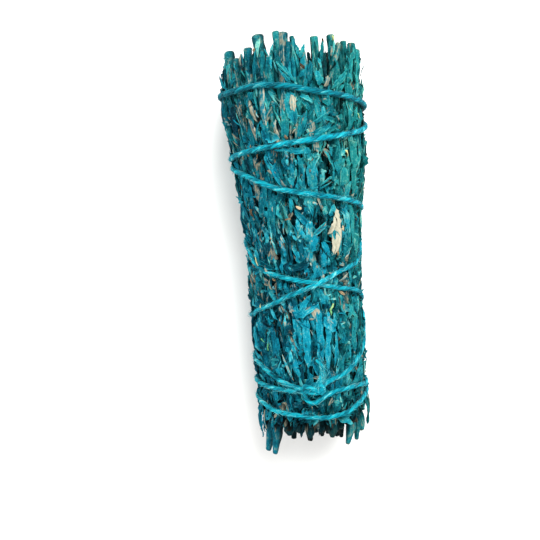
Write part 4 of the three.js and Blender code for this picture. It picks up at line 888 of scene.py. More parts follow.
        (32, 58.8, 32, 57.8, 1.0, 0.4, 0.8, 0, 0.2),
        (57, 39, 59, 37.9, 0.7, 0.7, 0.75, 0, 0.2), (40, 28.9, 42, 27.2, 1.1, 1, 0.9, 1, 0.1),
        (74, -9.1, 83, -10.8, 0.7, 0.5, 0.5, 1, 0.2), (-57, 0.2, -52, -2.8, 0.5, 1.8, 0.95, 0, 0.2),
        (-54, -13.8, -51, -15.4, 0.6, 1.6, 1, 1, 0.2),
        (24, -13.9, 20, -15.5, 0.6, 1.3, 0.8, 0.2, 0.3), (20, -15.3, 21, -17, 0.5, 1.2, 0.7, 0.2, 0.3),
        (-57, -24.2, -52, -25, 0.5, 0.8, 0.6, 0.3, 0.2), (-47, -25.4, -47, -27.2, 0.5, 0.8, 0.6, 0.3, 0.2),
    ],
}
TOP_STEMS = [  # radius, share of it at the tip, tint, hue, bare, and (angle, height) from low to high
    (0.9, 0.9, 0.5, 0.1, 0.1, [(-40, 40), (-40, 48), (-38, 57.4)]),
    (0.8, 0.8, 0.55, 0.4, 0.3, [(-36, 40), (-35, 48), (-31, 56.5)]),
    (0.75, 0.8, 0.6, 0.3, 0.2, [(-29, 40), (-28, 48), (-25, 56)]),
    (0.35, 0.5, 0.7, 0.4, 0.3, [(-20, 48), (-20, 54.8), (-23, 56.5)]),
    (0.6, 0.6, 0.6, 0.3, 0.2, [(-24, 42), (-24, 48.5), (-21, 54.3)]),
    (1.2, 1.0, 0.5, 0.3, 0.55, [(-9, 42), (-9, 52), (-8, 59.9)]),
    (0.6, 0.8, 0.6, 0.3, 0.3, [(-1, 44), (-1, 52.5), (0, 58.3)]),
    (0.8, 0.9, 0.4, 0.0, 0.0, [(-6, 44), (-6, 53.2), (-4, 57.5)]),
    (0.9, 0.9, 0.55, 0.5, 0.5, [(27, 41), (29, 46), (35, 52.8), (40, 57)]),
    (0.5, 0.6, 0.6, 0.6, 0.3, [(52, 42), (54, 48), (55, 55)]),
]
print("leaves with a place of their own:", {finish: len(rows) for finish, rows in PLACED.items()})


def placed_leaves(rng, k):
    """The listed leaves that start in sprig k's cell, from (angle, height) to (angle, height)."""
    shapes = []
    for finish, rows in PLACED.items():
        rows = np.array(rows)
        rows = rows[np.floor((rows[:, 0] + 180) * OUTER_COUNT / 360) == k]
        for grid, wanted in ((LARGE, rows[:, 4] >= 1.1), (MEDIUM, rows[:, 4] < 1.1)):
            if not wanted.any():
                continue
            from_phi, from_y, to_phi, to_y, width, lift, tint, hue, fold = rows[wanted].T
            from_phi, to_phi = np.radians(from_phi), np.radians(to_phi)
            arc = (to_phi - from_phi) * mean_radius((from_y + to_y) / 2)
            count = len(width)
            skin, bare, ragged, blunt = finish, 0.0, 0.5, rng.uniform(1.8, 7, count)
            if finish == DYED:
                tint = blend(0.5, tint, 0.65)
            elif finish == PALE:  # the dye hardly took, or not at all
                skin, bare, tint = DYED, 0.56 + 0.7 * hue, tint + 0.5 * hue
            elif finish == FLAT:  # long strips, pressed flat and hardly torn
                skin, bare, ragged, blunt = DYED, 0.2, 0.12, 10.0
            sunk = 0.55 - 0.7 * lift
            length = np.hypot(arc, to_y - from_y) + 0.4
            shapes.append(leaves(
                rng, grid, (from_phi + to_phi) / 2, (from_y + to_y) / 2, length, width, sunk,
                end_depth=sunk, arch=0.4, lean=np.arctan2(arc, to_y - from_y), fold=fold,
                curl=rng.uniform(-0.5, 0.3, count), twist=rng.normal(0, 0.3, count), blunt=blunt,
                skew=rng.uniform(0.55, 1.8, count), bend=rng.normal(0, 0.04, count), ragged=ragged,
                crumple=0.5, thick=0.26, tint=tint, bare=bare, hue=hue, material=skin, pressed=0.15))
    return shapes


# %% Build one outer sprig
def outer_sprig(k):
    """Core, stem, shingled leaves, strewn ones from broad to tiny, thinner stems, and all that is listed."""
    rng = np.random.default_rng(1000 + k)
    cell = 2 * np.pi / OUTER_COUNT
    half = cell / 2
    phi = -np.pi + (k + 0.5) * cell
    top, top_degrees, tip_radius = OUTER_TOPS[k]
    top_phi = np.radians(top_degrees)
    thick = 1.15 + 0.3 * draw(k, 1)
    foot, foot_degrees, foot_depth = OUTER_FEET[k]
    tied = thick + CORE_BELOW_SKIN + 0.2
    y = np.array([foot, -52.5, -48, -30, 36, 40, FAN_FROM, 48, 52, top])
    foot_phi = np.radians(foot_degrees)
    place = np.interp(y, [foot, -52.5, -48], [foot_phi, blend(foot_phi, phi, 0.8), phi])
    place = blend(place, top_phi, smooth_step(y, FAN_FROM, top))
    depths = np.interp(y, [foot, -48, 40, 48, top],
                       [foot_depth, tied, tied, thick + UNDER_STRING, thick + TIP_BELOW_SKIN])
    crowd = 0.5 if abs(phi) > UNDERSIDE else 1.0  # few of the crumbs show where the bunch lies on the table
    n = {kind: int(crowd * count) for kind, count in STREWN.items()}
    shapes = [
        core(phi, half, OUTER_RING[0], 2.1, CORE_FROM - 1, CORE_TO + 1, k),
        stem(place, depths, y, thick, k + 0.5, foot=FOOT_SHARE, tip=tip_radius / thick, tip_from=48, hue=0.7,
             tint=0.5 + 0.25 * draw(k, 9), bare=0.42, material=WOOD),
        shingles(rng, k),
        # Strewn leaves: how many, and the ranges of their heights, depths, lengths and widths in mm.
        # broad pressed leaves, some half torn away
        strewn(rng, LARGE, phi, half, n["pressed"], (-46, 44), (0.3, 1.2), (6, 16), (2.2, 4.8),
               lean=0.28, thick=0.3, crumple=0.6, bare=0.7),
        # narrow folded leaves, deep and shallow, the deep ones with lower tints as painted shade, and strips
        # with torn square ends
        strewn(rng, MEDIUM, phi, half, n["deep"], (-42, 47), (1.0, 2.3), (7, 18), (1.2, 2.8),
               lean=0.1, tint=(0.1, 0.6)),
        strewn(rng, MEDIUM, phi, half, n["narrow"], (-43.5, 45), (0.1, 1.3), (6, 15), (0.9, 2.4),
               lean=0.16, bare=0.6),
        strewn(rng, MEDIUM, phi, half, n["strips"], (-45, 45), (0.0, 1.1), (4, 12), (1.3, 3.0),
               lean=0.3, bare=0.7, blunt=rng.uniform(5, 12, n["strips"]), tint=(0.3, 0.9)),
        # flakes that lie at every angle
        strewn(rng, MEDIUM, phi, half, n["flakes"], (-49, 46), (-0.1, 0.9), (2.5, 6), (1.8, 3.8),
               lean=0.9, bare=0.7, curl=rng.normal(0, 0.6, n["flakes"]), tint=(0.25, 0.8)),
        # slivers, torn pieces and crumbs
        strewn(rng, SMALL, phi, half, n["slivers"], (-48.5, 47), (0.0, 1.6), (3, 9), (0.35, 1.1),
               lean=0.3, bare=0.8, tint=(0.1, 0.95)),
        strewn(rng, SMALL, phi, half, n["crumbs"], (-50, 48), (-0.1, 0.8), (1.0, 3.2), (0.5, 1.5),
               lean=1.0, bare=0.8, tint=(0.15, 0.95)),
        # short ones at the hem, their low tints painted shade where the hem lies in shadow, and short ones at
        # the top
        strewn(rng, MEDIUM, phi, half, 12, (-50.5, -46.5), (0.8, 3.8), (4, 7), (1.2, 2.8),
               lean=0.3, blunt=3.0, tint=(0.0, 0.45), bare=0.7, ragged=0.6),
        strewn(rng, MEDIUM, phi, half, 4, (-51, -48.5), (1.0, 4.0), (3, 6), (1.0, 2.2),
               lean=0.4, tint=(0.1, 0.5), ragged=0.6, material=TAN),
        strewn(rng, MEDIUM, phi, half, 12, (45, 52), (0.9, 4.5), (5, 11), (0.9, 2.4), lean=0.25),
        strewn(rng, SMALL, top_phi, 0.06, 22, (44, top - 3), (-0.1, 1.4), (2, 7), (0.4, 1.3),
               lean=0.2, tint=(0.2, 0.9)),
    ]
    for extra in range(3):
        seed = 40 + 3 * k + extra
        offset = (draw(seed, 3) - 0.5) * cell * 1.1
        rise = 51 + 5 * draw(seed, 4)
        start = 20 + 18 * draw(seed, 5)
        radius = 0.4 + 0.5 * draw(seed, 6)
        slant = 0.14 * (draw(seed, 7) - 0.5)
        shapes.append(stem(
            phi + offset + np.array([-1, -0.3, 0, 1]) * slant, radius + np.array([1.8, 0.9, 0.9, 1.6]),
            np.array([start, start + 8, 47, rise]), radius, seed, tip=0.25 if draw(seed, 10) < 0.6 else 0.7,
            tint=0.25 + 0.5 * draw(seed, 8), bare=0.3, material=WOOD))
    for number, (radius, tip, tint, hue, bare, places) in enumerate(TOP_STEMS):
        degrees, heights = np.array(places, float).T
        if k == int((degrees[-1] + 180) * OUTER_COUNT / 360):
            under = np.where(heights < 50, UNDER_STRING, 0.2)
            shapes.append(stem(np.radians(degrees), radius + under, heights, radius, 300 + number, tip=tip,
                               tint=tint, hue=hue, bare=bare, material=WOOD))
    return shapes + placed_leaves(rng, k)


print("thinner stems listed at the top:", len(TOP_STEMS))


# %% Build one hidden sprig
def hidden_sprig(seed, phi, half_angle, ring):
    """Its core, its stem, which strays a little at both ends, and leaves where it comes out of the bunch."""
    rng = np.random.default_rng(int(seed))
    thick = 1.2 + 0.35 * draw(seed, 1)
    foot, top = -54 - 5 * draw(seed, 2), 53 + 5 * draw(seed, 3)
    across, outward = ((2 * draw(seed, key) - 1) * HIDDEN_SWING for key in (4, 5))
    y = np.linspace(foot, top, 24)
    swing = np.maximum(0, np.abs(y) - CORE_TO + 3) / 10
    middle = (ring[0] + ring[1]) / 2
    rho = middle * bunch_radius(phi, y) + outward * swing
    depth = bunch_radius(phi, y) - rho
    skin_depth = (1 - ring[1]) * ARC_RADIUS
    mean_depth = (1 - middle) * ARC_RADIUS
    depths = (mean_depth - 2.0, mean_depth + 2.0)
    # The stem and the leaves of a hidden sprig get low tints: painted shade inside the bunch.
    shapes = [
        core(phi, half_angle, ring[0], skin_depth + 0.3, CORE_FROM, CORE_TO, seed, rings=24, across=6,
             relief=0.5),
        stem(phi + across * swing / rho, depth, y, thick, seed, foot=FOOT_SHARE,
             tint=0.15 + 0.2 * draw(seed, 9), bare=0.5, material=WOOD),
    ]
    for count, skin in ((6, DYED), (5, TAN)):
        shapes.append(strewn(rng, MEDIUM, phi, half_angle, count, (-52.8, -49.5), depths, (3, 6), (1.4, 3.0),
                             lean=0.3, blunt=6.0, tint=(0.0, 0.35), bare=0.8, ragged=0.6, material=skin))
    shapes.append(strewn(rng, MEDIUM, phi, half_angle, 10, (48, 52), depths, (4, 9), (1.0, 2.4),
                         lean=0.15, tint=(0.05, 0.5)))
    return shapes


print("ready to build", OUTER_COUNT + MIDDLE_COUNT + INNER_COUNT + 1, "sprigs")

# %% [markdown]
# ## The string
#
# Cotton string is spun from fibres into thin plies that are twisted together, and loose fibre ends
# stand off it all the way. A smooth tube would look like wire. Here the path of the solid's string is
# worked out again, each ply is a tube that winds round that path, and thousands of short fibres stand
# on the plies.

# %% Path of the string
STRING_SEAT, STRING_RADIUS = 0.05, 0.8
STRING_FLAT = STRING_RADIUS * np.cos(np.pi / 6)


def on_skin(turn, y, lift):
    """The string's centre line over the bunch, and flat on the table under it."""
    rho = bunch_radius(turn, y) + STRING_SEAT + lift
    z = mean_radius(y) - SINK + rho * np.cos(turn)
    return np.stack([AXIS_X + rho * np.sin(turn), y, np.maximum(z, STRING_FLAT + lift)], -1)


def even_steps(path, step):
    """The same path with its points an even distance apart."""
    distance = distance_along(path)
    places = np.linspace(0, distance[-1], int(distance[-1] / step) + 2)
    return np.stack([np.interp(places, distance, path[:, i]) for i in range(3)], -1)


STRING_STEP = 0.55
string_path = even_steps(on_skin(route_turn, route_y, route_lift), STRING_STEP)
print("string length round the bunch in mm:", round(len(string_path) * STRING_STEP))

# %% Plies and fibres
PLY_COUNT, PLY_RADIUS, PLY_OFFSET = 3, 0.48, 0.3
TWIST_PITCH = 6.0
SLACK, TIGHT = 1.08, 0.94  # the lower wraps are drawn tight, so the string is thinner there
TIGHT_AT, SLACK_AT = 0, 36  # heights in mm
FIBRE_RADIUS, FIBRE_FOOT = 0.045, 0.72  # the foot's distance from the string's centre line


def string_frame(path):
    """At each point two directions square to the path: one along the bunch's surface and one away from it."""
    tangent = unit(np.gradient(path, axis=0))
    side = unit(np.cross(tangent, outwards(path)))
    return side, np.cross(side, tangent)


def plies(path, spread=1.0, sides=6, seed=0):
    """Each ply's centre goes round the path at the ply offset, once for each twist pitch."""
    side, normal = string_frame(path)
    distance = distance_along(path)
    wobble = 0.5 * np.sin(distance / 11) + 0.3 * np.sin(distance / 4.3)
    pull = blend(TIGHT, SLACK, smooth_step(path[:, 1], TIGHT_AT, SLACK_AT))
    shapes = []
    for ply in range(PLY_COUNT):
        angle = 2 * np.pi * (distance / TWIST_PITCH + ply / PLY_COUNT) + wobble
        offset = PLY_OFFSET * spread * pull
        centre = path + side * (offset * np.cos(angle))[:, None] + normal * (offset * np.sin(angle))[:, None]
        thick = pull * PLY_RADIUS * (0.88 + 0.24 * noise(distance / 1.7, ply + 0.5, 5.0 + seed))
        shapes.append(tube(centre, thick, sides=sides, rough=0.15, seed=ply + 1.0 + seed,
                           tint=0.22 + 0.18 * ply))
    return shapes


def fibres(rng, path, count, length, lift, spread=1.0):
    """Loose fibres: thin three-sided tubes that leave the string's skin and curl away from it."""
    side, normal = string_frame(path)
    index = rng.integers(2, len(path) - 2, count)
    angle = rng.uniform(0, 2 * np.pi, count)[:, None, None]
    t = np.linspace(0, 1, 5)[None, :, None]
    along = unit(np.gradient(path, axis=0))[index][:, None]
    side, normal = side[index][:, None], normal[index][:, None]
    reach = rng.uniform(*length, count)[:, None, None] * rng.choice([-1, 1], count)[:, None, None]
    stand = rng.uniform(*lift, count)[:, None, None]
    turn = angle + rng.uniform(-1.4, 1.4, count)[:, None, None] * t
    distance = FIBRE_FOOT * spread + stand * t**1.5
    across = side * np.cos(turn + np.pi / 2) + normal * np.sin(turn + np.pi / 2)
    out = side * np.cos(turn) + normal * np.sin(turn)
    centre = path[index][:, None] + along * reach * t + out * distance
    thick = FIBRE_RADIUS * (1 - 0.6 * t)
    points = np.stack([centre - across * thick, centre + out * thick, centre + across * thick], 2)
    backwards = reach[:, 0, 0] < 0
    points[backwards] = points[backwards][:, :, ::-1]  # so that its faces point outwards too
    points = np.concatenate([points.reshape(count, -1, 3), centre[:, :1], centre[:, -1:]], 1)
    points[..., 2] = np.maximum(points[..., 2], 0)
    quads, triangles = tube_faces(5, 3)
    offsets = (np.arange(count) * points.shape[1])[:, None, None]
    flat = points.reshape(-1, 3)
    quads, triangles = (quads[None] + offsets).reshape(-1, 4), (triangles[None] + offsets).reshape(-1, 3)
    tint = np.repeat(rng.uniform(0.4, 1.0, count), points.shape[1])
    return shape(flat, quads, triangles, flat, tint=tint)


print("plies:", PLY_COUNT, "twist pitch in mm:", TWIST_PITCH)

# %% Knot and tail: strands lying over each other, as degrees, height and lift
KNOT = (
    [(-11, -38.0, 0.6), (-7, -36.9, 1.5), (-1, -37.6, 2.0), (4, -38.8, 1.8), (9, -38.6, 0.9)],
    [(-9, -38.9, 0.5), (-5, -38.6, 1.6), (1, -38.9, 1.7), (6, -37.9, 1.7), (11, -36.4, 0.6)],
    [(7, -39.6, 0.6), (8, -38.0, 1.4), (5, -36.6, 1.6), (0, -36.6, 1.2), (-3, -37.8, 0.9)],
)
TAIL = [(-2, -38, 1.4), (5, -36.2, 1.0), (9, -33.4, 0.5), (7, -30.8, 0.4), (5, -29.4, 0.4)]
KNOT_STEP = 0.4  # mm between the points of the short strands


def strand(places):
    """A short length of the string through given points."""
    return even_steps(on_skin(*spline(np.array(places) * [np.pi / 180, 1, 1], 20).T), KNOT_STEP)


knot_paths = [strand(places) for places in KNOT]
tail_path = strand(TAIL)
print("strands in the knot:", len(knot_paths), "tail length in mm:", round(len(tail_path) * KNOT_STEP, 1))

# %% [markdown]
# ## Finishes
#
# The dyed leaf and the dyed wood of the stems share one design. Dye soaks unevenly into dry leaves, so
# the colour comes from a ramp of blue teals and a ramp of green teals, read at a value that adds the
# leaf's own tint, streaks along its grain and broad blotches. Where the dye never reached, it is beige.
# Leaves that took no dye at all, seed heads and buds, and a few fresh leaves are simpler: one ramp each.
# The streaks follow each leaf, because they read the grain value that was stored with its points.
# Every plant finish is also darkened with its depth in the bunch: painted shade in the crevices.

# %% Patterns that all the plant finishes share
# Settings that many nodes share: a product plus a number, and a mix of two colours
MULTIPLY_ADD, COLOUR_MIX = {"operation": "MULTIPLY_ADD"}, {"data_type": "RGBA"}
STREAK_WIDTH, STREAK_LENGTH = 0.34, 3.0
BLOTCH, SPECK, PATCH = 2.0, 0.4, 9.0
# The plant finishes paint shade: from OPEN to CREVICE below the skin their colour turns towards the painted
# shade colour.
OPEN, CREVICE = 0.2, 2.4  # mm below the skin, in full light and where hardly any light arrives
PAINTED_SHADE_DEEPEST, PAINTED_SHADE_COLOUR = 0.12, "#031416"


def patterns(tree):
    """The attributes, the streaks along the grain, and the blotches and specks in the bunch's own space."""
    found = {key: add_node(tree, "ShaderNodeAttribute", {"attribute_name": key}).outputs["Fac"]
             for key in (*VALUES, "deep")}
    grain = add_node(tree, "ShaderNodeAttribute", {"attribute_name": "grain"}).outputs["Vector"]
    found["place"] = add_node(tree, "ShaderNodeTexCoord").outputs["Object"]
    stretched = add_node(tree, "ShaderNodeVectorMath", {"operation": "MULTIPLY"}, i0=grain,
                         i1=(1 / STREAK_WIDTH, 1 / STREAK_LENGTH, 1 / STREAK_WIDTH)).outputs[0]
    found["streak"] = add_node(tree, "ShaderNodeTexNoise", Vector=stretched, Scale=1.0, Detail=4.0,
                               Roughness=0.65).outputs[0]
    for key, size, detail in (("blotch", BLOTCH, 6.0), ("speck", SPECK, 2.0), ("patch", PATCH, 3.0)):
        found[key] = add_node(tree, "ShaderNodeTexNoise", Vector=found["place"], Scale=1 / (size * MM),
                              Detail=detail, Roughness=0.65).outputs[0]
    return found


def colour_value(tree, p, streak_share, blotch_share, speck_share, rim_pale_and_highlight_share):
    """The tint, plus streaks, blotches, specks and a lighter rim, less their mean. The lighter rim is partly
    the leaf's paler margin and partly a painted highlight on its edge.
    """
    value = p["tint"]
    for key, share in (("streak", streak_share), ("blotch", blotch_share), ("speck", speck_share)):
        value = add_node(tree, "ShaderNodeMath", MULTIPLY_ADD, i0=p[key], i1=share, i2=value).outputs[0]
    # Painted highlight: the rim of each leaf is lighter, partly its paler margin.
    rim = add_node(tree, "ShaderNodeMath", {"operation": "POWER"}, i0=p["rim"], i1=5.0).outputs[0]
    mean = (streak_share + blotch_share + speck_share) / 2
    rim = add_node(tree, "ShaderNodeMath", MULTIPLY_ADD, i0=rim, i1=rim_pale_and_highlight_share, i2=-mean).outputs[0]
    return add_node(tree, "ShaderNodeMath", {"operation": "ADD"}, i0=value, i1=rim).outputs[0]


def surface(tree, p, colour, roughness, bump_mm):
    """Paints shade into the colour with depth in the bunch, wrinkles it, and makes it a matt surface."""
    shade = add_node(tree, "ShaderNodeMapRange", Value=p["deep"], From_Min=OPEN, From_Max=CREVICE, To_Min=1.0,
                     To_Max=PAINTED_SHADE_DEEPEST).outputs[0]
    colour = add_node(tree, "ShaderNodeMix", COLOUR_MIX, i0=shade, i6=linear(PAINTED_SHADE_COLOUR),
                      i7=colour).outputs[2]
    height = add_node(tree, "ShaderNodeMath", MULTIPLY_ADD, i0=p["speck"], i1=0.5, i2=p["streak"]).outputs[0]
    bump = add_node(tree, "ShaderNodeBump", Strength=1.0, Distance=bump_mm * MM, Height=height).outputs[0]
    shader = add_node(tree, "ShaderNodeBsdfPrincipled", Base_Color=colour, Roughness=roughness, Normal=bump,
                      Specular_IOR_Level=0.04)
    add_node(tree, "ShaderNodeOutputMaterial", Surface=shader.outputs[0])


print("streaks in mm:", STREAK_WIDTH, "by", STREAK_LENGTH)

# %% Dyed finishes
BLUE_TEALS = ((0.0, "#010a10"), (0.2, "#022633"), (0.4, "#034a5b"),
              (0.6, "#056b80"), (0.8, "#0f889c"), (1.0, "#4aacb3"))
GREEN_TEALS = ((0.0, "#031210"), (0.2, "#06302f"), (0.4, "#0a5455"),
               (0.6, "#147475"), (0.8, "#32928b"), (1.0, "#7ab6a5"))
UNDYED = ((0.0, "#24261f"), (0.3, "#545448"), (0.6, "#838270"), (1.0, "#b9b6a0"))
# The green teals' share grows from left to right and towards the top, between these places in metres
GREEN_AT_LEFT, GREEN_AT_RIGHT, GREEN_AT_TOP = -0.4, 0.4, 0.35
GREEN_ACROSS, GREEN_ALONG = (-0.014, 0.022), (-0.01, 0.05)
GREEN_SHARES, GREEN_LESS = (("patch", 1.2), ("hue", 0.6), ("blotch", 1.6)), 1.28
# Spots where the colour differs: place and reach in metres, and the change in green share, value and
# bareness. The third darkens the left of the top end: painted shade. The others change the green share and
# bareness of the dye, and the first two also lighten it a little.
DYE_AND_SHADE_SPOTS = (
    ((0.004, 0.002, 0.036), 0.016, (-0.45, 0.03, -0.12)),
    ((0.003, -0.028, 0.033), 0.016, (-0.4, 0.03, -0.12)),
    ((-0.014, 0.047, 0.03), 0.015, (0.3, -0.14, 0.08)),
    ((-0.0115, -0.008, 0.028), 0.009, (0.15, 0.0, 0.22)),
    ((0.010, -0.002, 0.030), 0.008, (0.1, 0.0, 0.15)),
    ((0.012, -0.018, 0.030), 0.007, (0.1, 0.0, 0.12)),
)
WORN_FROM, WORN_TO = 1.53, 1.7  # bare + streaks + blotches where the dye begins to lack, and lacks altogether
FLECK, FLECK_RISE, FLECK_MOST = 0.89, 0.14, 0.8  # above the first the specks are undyed


def dyed(name, streak_share, blotch_share, bare_bias, roughness, bump_mm, cut_colour=None):
    """A dyed plant finish, which is undyed where bare + streaks + blotches is high."""
    material, tree = new_material(name)
    p = patterns(tree)
    value = colour_value(tree, p, streak_share, blotch_share, speck_share=0.5, rim_pale_and_highlight_share=0.14)
    x, y, _ = add_node(tree, "ShaderNodeSeparateXYZ", Vector=p["place"]).outputs
    right = add_node(tree, "ShaderNodeMapRange", Value=x, From_Min=GREEN_ACROSS[0], From_Max=GREEN_ACROSS[1],
                     To_Min=GREEN_AT_LEFT, To_Max=GREEN_AT_RIGHT).outputs[0]
    top = add_node(tree, "ShaderNodeMapRange", Value=y, From_Min=GREEN_ALONG[0], From_Max=GREEN_ALONG[1],
                   To_Max=GREEN_AT_TOP).outputs[0]
    green = add_node(tree, "ShaderNodeMath", {"operation": "ADD"}, i0=right, i1=top).outputs[0]
    bare = p["bare"]
    for spot, reach, changes in DYE_AND_SHADE_SPOTS:
        away = add_node(tree, "ShaderNodeVectorMath", {"operation": "DISTANCE"}, i0=p["place"], i1=spot)
        near = add_node(tree, "ShaderNodeMapRange", Value=away.outputs["Value"], From_Max=reach, To_Min=1.0,
                        To_Max=0.0).outputs[0]
        green, value, bare = (
            add_node(tree, "ShaderNodeMath", MULTIPLY_ADD, i0=near, i1=change, i2=base).outputs[0]
            for change, base in zip(changes, (green, value, bare)))
    for key, share in GREEN_SHARES:
        green = add_node(tree, "ShaderNodeMath", MULTIPLY_ADD, i0=p[key], i1=share, i2=green).outputs[0]
    green = add_node(tree, "ShaderNodeMath", {"operation": "SUBTRACT", "use_clamp": True}, i0=green,
                     i1=GREEN_LESS).outputs[0]
    blues, greens = (add_node(tree, "ShaderNodeValToRGB", stops=stops, Fac=value).outputs[0]
                     for stops in (BLUE_TEALS, GREEN_TEALS))
    teal = add_node(tree, "ShaderNodeMix", COLOUR_MIX, i0=green, i6=blues, i7=greens).outputs[2]
    dry = add_node(tree, "ShaderNodeMath", MULTIPLY_ADD, i0=p["streak"], i1=1.3, i2=-0.35).outputs[0]
    dry = add_node(tree, "ShaderNodeMath", MULTIPLY_ADD, i0=p["tint"], i1=0.5, i2=dry).outputs[0]
    pale = add_node(tree, "ShaderNodeValToRGB", stops=UNDYED, Fac=dry).outputs[0]
    worn = add_node(tree, "ShaderNodeMath", MULTIPLY_ADD, i0=p["streak"], i1=0.9, i2=bare).outputs[0]
    worn = add_node(tree, "ShaderNodeMath", MULTIPLY_ADD, i0=p["blotch"], i1=1.1, i2=worn).outputs[0]
    worn = add_node(tree, "ShaderNodeMapRange", Value=worn, From_Min=WORN_FROM - bare_bias,
                    From_Max=WORN_TO - bare_bias).outputs[0]
    fleck = add_node(tree, "ShaderNodeMath", MULTIPLY_ADD, i0=p["blotch"], i1=0.5, i2=p["speck"]).outputs[0]
    fleck = add_node(tree, "ShaderNodeMapRange", Value=fleck, From_Min=FLECK, From_Max=FLECK + FLECK_RISE,
                     To_Max=FLECK_MOST).outputs[0]
    worn = add_node(tree, "ShaderNodeMath", {"operation": "MAXIMUM"}, i0=worn, i1=fleck).outputs[0]
    colour = add_node(tree, "ShaderNodeMix", COLOUR_MIX, i0=worn, i6=teal, i7=pale).outputs[2]
    if cut_colour:
        sawn = add_node(tree, "ShaderNodeMath", MULTIPLY_ADD, i0=p["blotch"], i1=2.0, i2=-0.4).outputs[0]
        sawn = add_node(tree, "ShaderNodeMath", {"operation": "MULTIPLY"}, i0=p["cut"], i1=sawn).outputs[0]
        colour = add_node(tree, "ShaderNodeMix", COLOUR_MIX, i0=sawn, i6=colour,
                          i7=linear(cut_colour)).outputs[2]
    surface(tree, p, colour, roughness, bump_mm)
    return material


# Dried sage leaf: matt and papery, so a high roughness, wrinkled along streaks a third of a millimetre wide.
dyed_leaf = dyed("dyed_dried_leaf", streak_share=0.8, blotch_share=0.75, bare_bias=0.0, roughness=0.75,
                 bump_mm=0.3)
# Cut woody stem: a little smoother than the leaf, ribbed along its grain, with a paler cut end.
dyed_wood = dyed("dyed_sage_wood", streak_share=0.6, blotch_share=0.9, bare_bias=0.03, roughness=0.6,
                 bump_mm=0.3, cut_colour="#6b7250")
print("dyed finishes:", dyed_leaf.name, dyed_wood.name)


# %% Undyed finishes
def undyed(name, stops, streak_share, roughness):
    """A plant finish with a ramp of its own."""
    material, tree = new_material(name)
    p = patterns(tree)
    value = colour_value(tree, p, streak_share, blotch_share=0.4, speck_share=0.25, rim_pale_and_highlight_share=0.1)
    colour = add_node(tree, "ShaderNodeValToRGB", stops=stops, Fac=value).outputs[0]
    surface(tree, p, colour, roughness, bump_mm=0.3)
    return material


# Buds and seed heads: brown to tan, a little waxy, small warm accents.
tan_bud = undyed("brown_bud", (
    (0.0, "#0e0905"), (0.35, "#2a2118"), (0.65, "#594935"), (0.85, "#8a7456"), (1.0, "#b6a585")),
    streak_share=0.8, roughness=0.55)
# A few leaves dried green: lime, and yellow where they are driest.
fresh_leaf = undyed("green_dried_leaf", (
    (0.0, "#173e1f"), (0.45, "#3e844c"), (0.72, "#67ad76"), (0.86, "#aab273"), (1.0, "#c8c08e")),
    streak_share=0.25, roughness=0.7)
print("undyed finishes:", tan_bud.name, fresh_leaf.name)

# %% Dyed cotton: soft and fibrous, brighter than the leaves, because white cotton takes the dye evenly
COTTON_TOP = ((0.0, "#01313a"), (0.35, "#02515f"), (0.6, "#037080"), (0.85, "#108c99"), (1.0, "#5aadb0"))
COTTON_LOW = ((0.0, "#013c46"), (0.35, "#026a7b"), (0.6, "#048fa1"), (0.85, "#1cadb9"), (1.0, "#7ccacb"))
FIBRE_WIDTH, FIBRE_LENGTH, THIN_DYE = 0.3, 2.4, 5.0
# Painted shade on the string, in mm below the bunch's surface: full bright at the first depth and darkest at
# the second, so its foot and the grooves between its plies are painted darker
CREST, FOOT_OF_STRING = -1.3, -0.1
STRING_SHADE_DARKEST, STRING_SHADE_COLOUR = 0.15, "#022126"
# The lower wraps are brighter at their left ends, the top wrap has ramp COTTON_TOP: between places in metres
LEFT_END, LOW_WRAPS, TOP_WRAP, LEFT_MORE = (-0.016, 0.0), (-0.035, -0.025), (0.033, 0.042), 0.13
dyed_cotton, tree = new_material("dyed_cotton_string")
tint = add_node(tree, "ShaderNodeAttribute", {"attribute_name": "tint"}).outputs["Fac"]
grain = add_node(tree, "ShaderNodeAttribute", {"attribute_name": "grain"}).outputs["Vector"]
stretched = add_node(tree, "ShaderNodeVectorMath", {"operation": "MULTIPLY"}, i0=grain,
                     i1=(1 / FIBRE_WIDTH, 1 / FIBRE_LENGTH, 1 / FIBRE_WIDTH)).outputs[0]
fibre = add_node(tree, "ShaderNodeTexNoise", Vector=stretched, Scale=1.0, Detail=3.0,
                 Roughness=0.6).outputs[0]
place = add_node(tree, "ShaderNodeTexCoord").outputs["Object"]
stretch = add_node(tree, "ShaderNodeTexNoise", Vector=place, Scale=1 / (THIN_DYE * MM), Detail=2.0).outputs[0]
value = add_node(tree, "ShaderNodeMath", MULTIPLY_ADD, i0=fibre, i1=1.5, i2=tint).outputs[0]
value = add_node(tree, "ShaderNodeMath", MULTIPLY_ADD, i0=stretch, i1=0.8, i2=value).outputs[0]
value = add_node(tree, "ShaderNodeMath", {"operation": "SUBTRACT"}, i0=value, i1=1.03).outputs[0]
across, along, _ = add_node(tree, "ShaderNodeSeparateXYZ", Vector=place).outputs
left = add_node(tree, "ShaderNodeMapRange", Value=across, From_Min=LEFT_END[0], From_Max=LEFT_END[1],
                To_Min=LEFT_MORE, To_Max=0.0).outputs[0]
low = add_node(tree, "ShaderNodeMapRange", Value=along, From_Min=LOW_WRAPS[0], From_Max=LOW_WRAPS[1],
               To_Min=1.0, To_Max=0.0).outputs[0]
value = add_node(tree, "ShaderNodeMath", MULTIPLY_ADD, i0=left, i1=low, i2=value).outputs[0]
bump = add_node(tree, "ShaderNodeBump", Strength=1.0, Distance=0.3 * MM, Height=fibre).outputs[0]
high = add_node(tree, "ShaderNodeMapRange", Value=along, From_Min=TOP_WRAP[0],
                From_Max=TOP_WRAP[1]).outputs[0]
low_colour, top_colour = (add_node(tree, "ShaderNodeValToRGB", stops=stops, Fac=value).outputs[0]
                          for stops in (COTTON_LOW, COTTON_TOP))
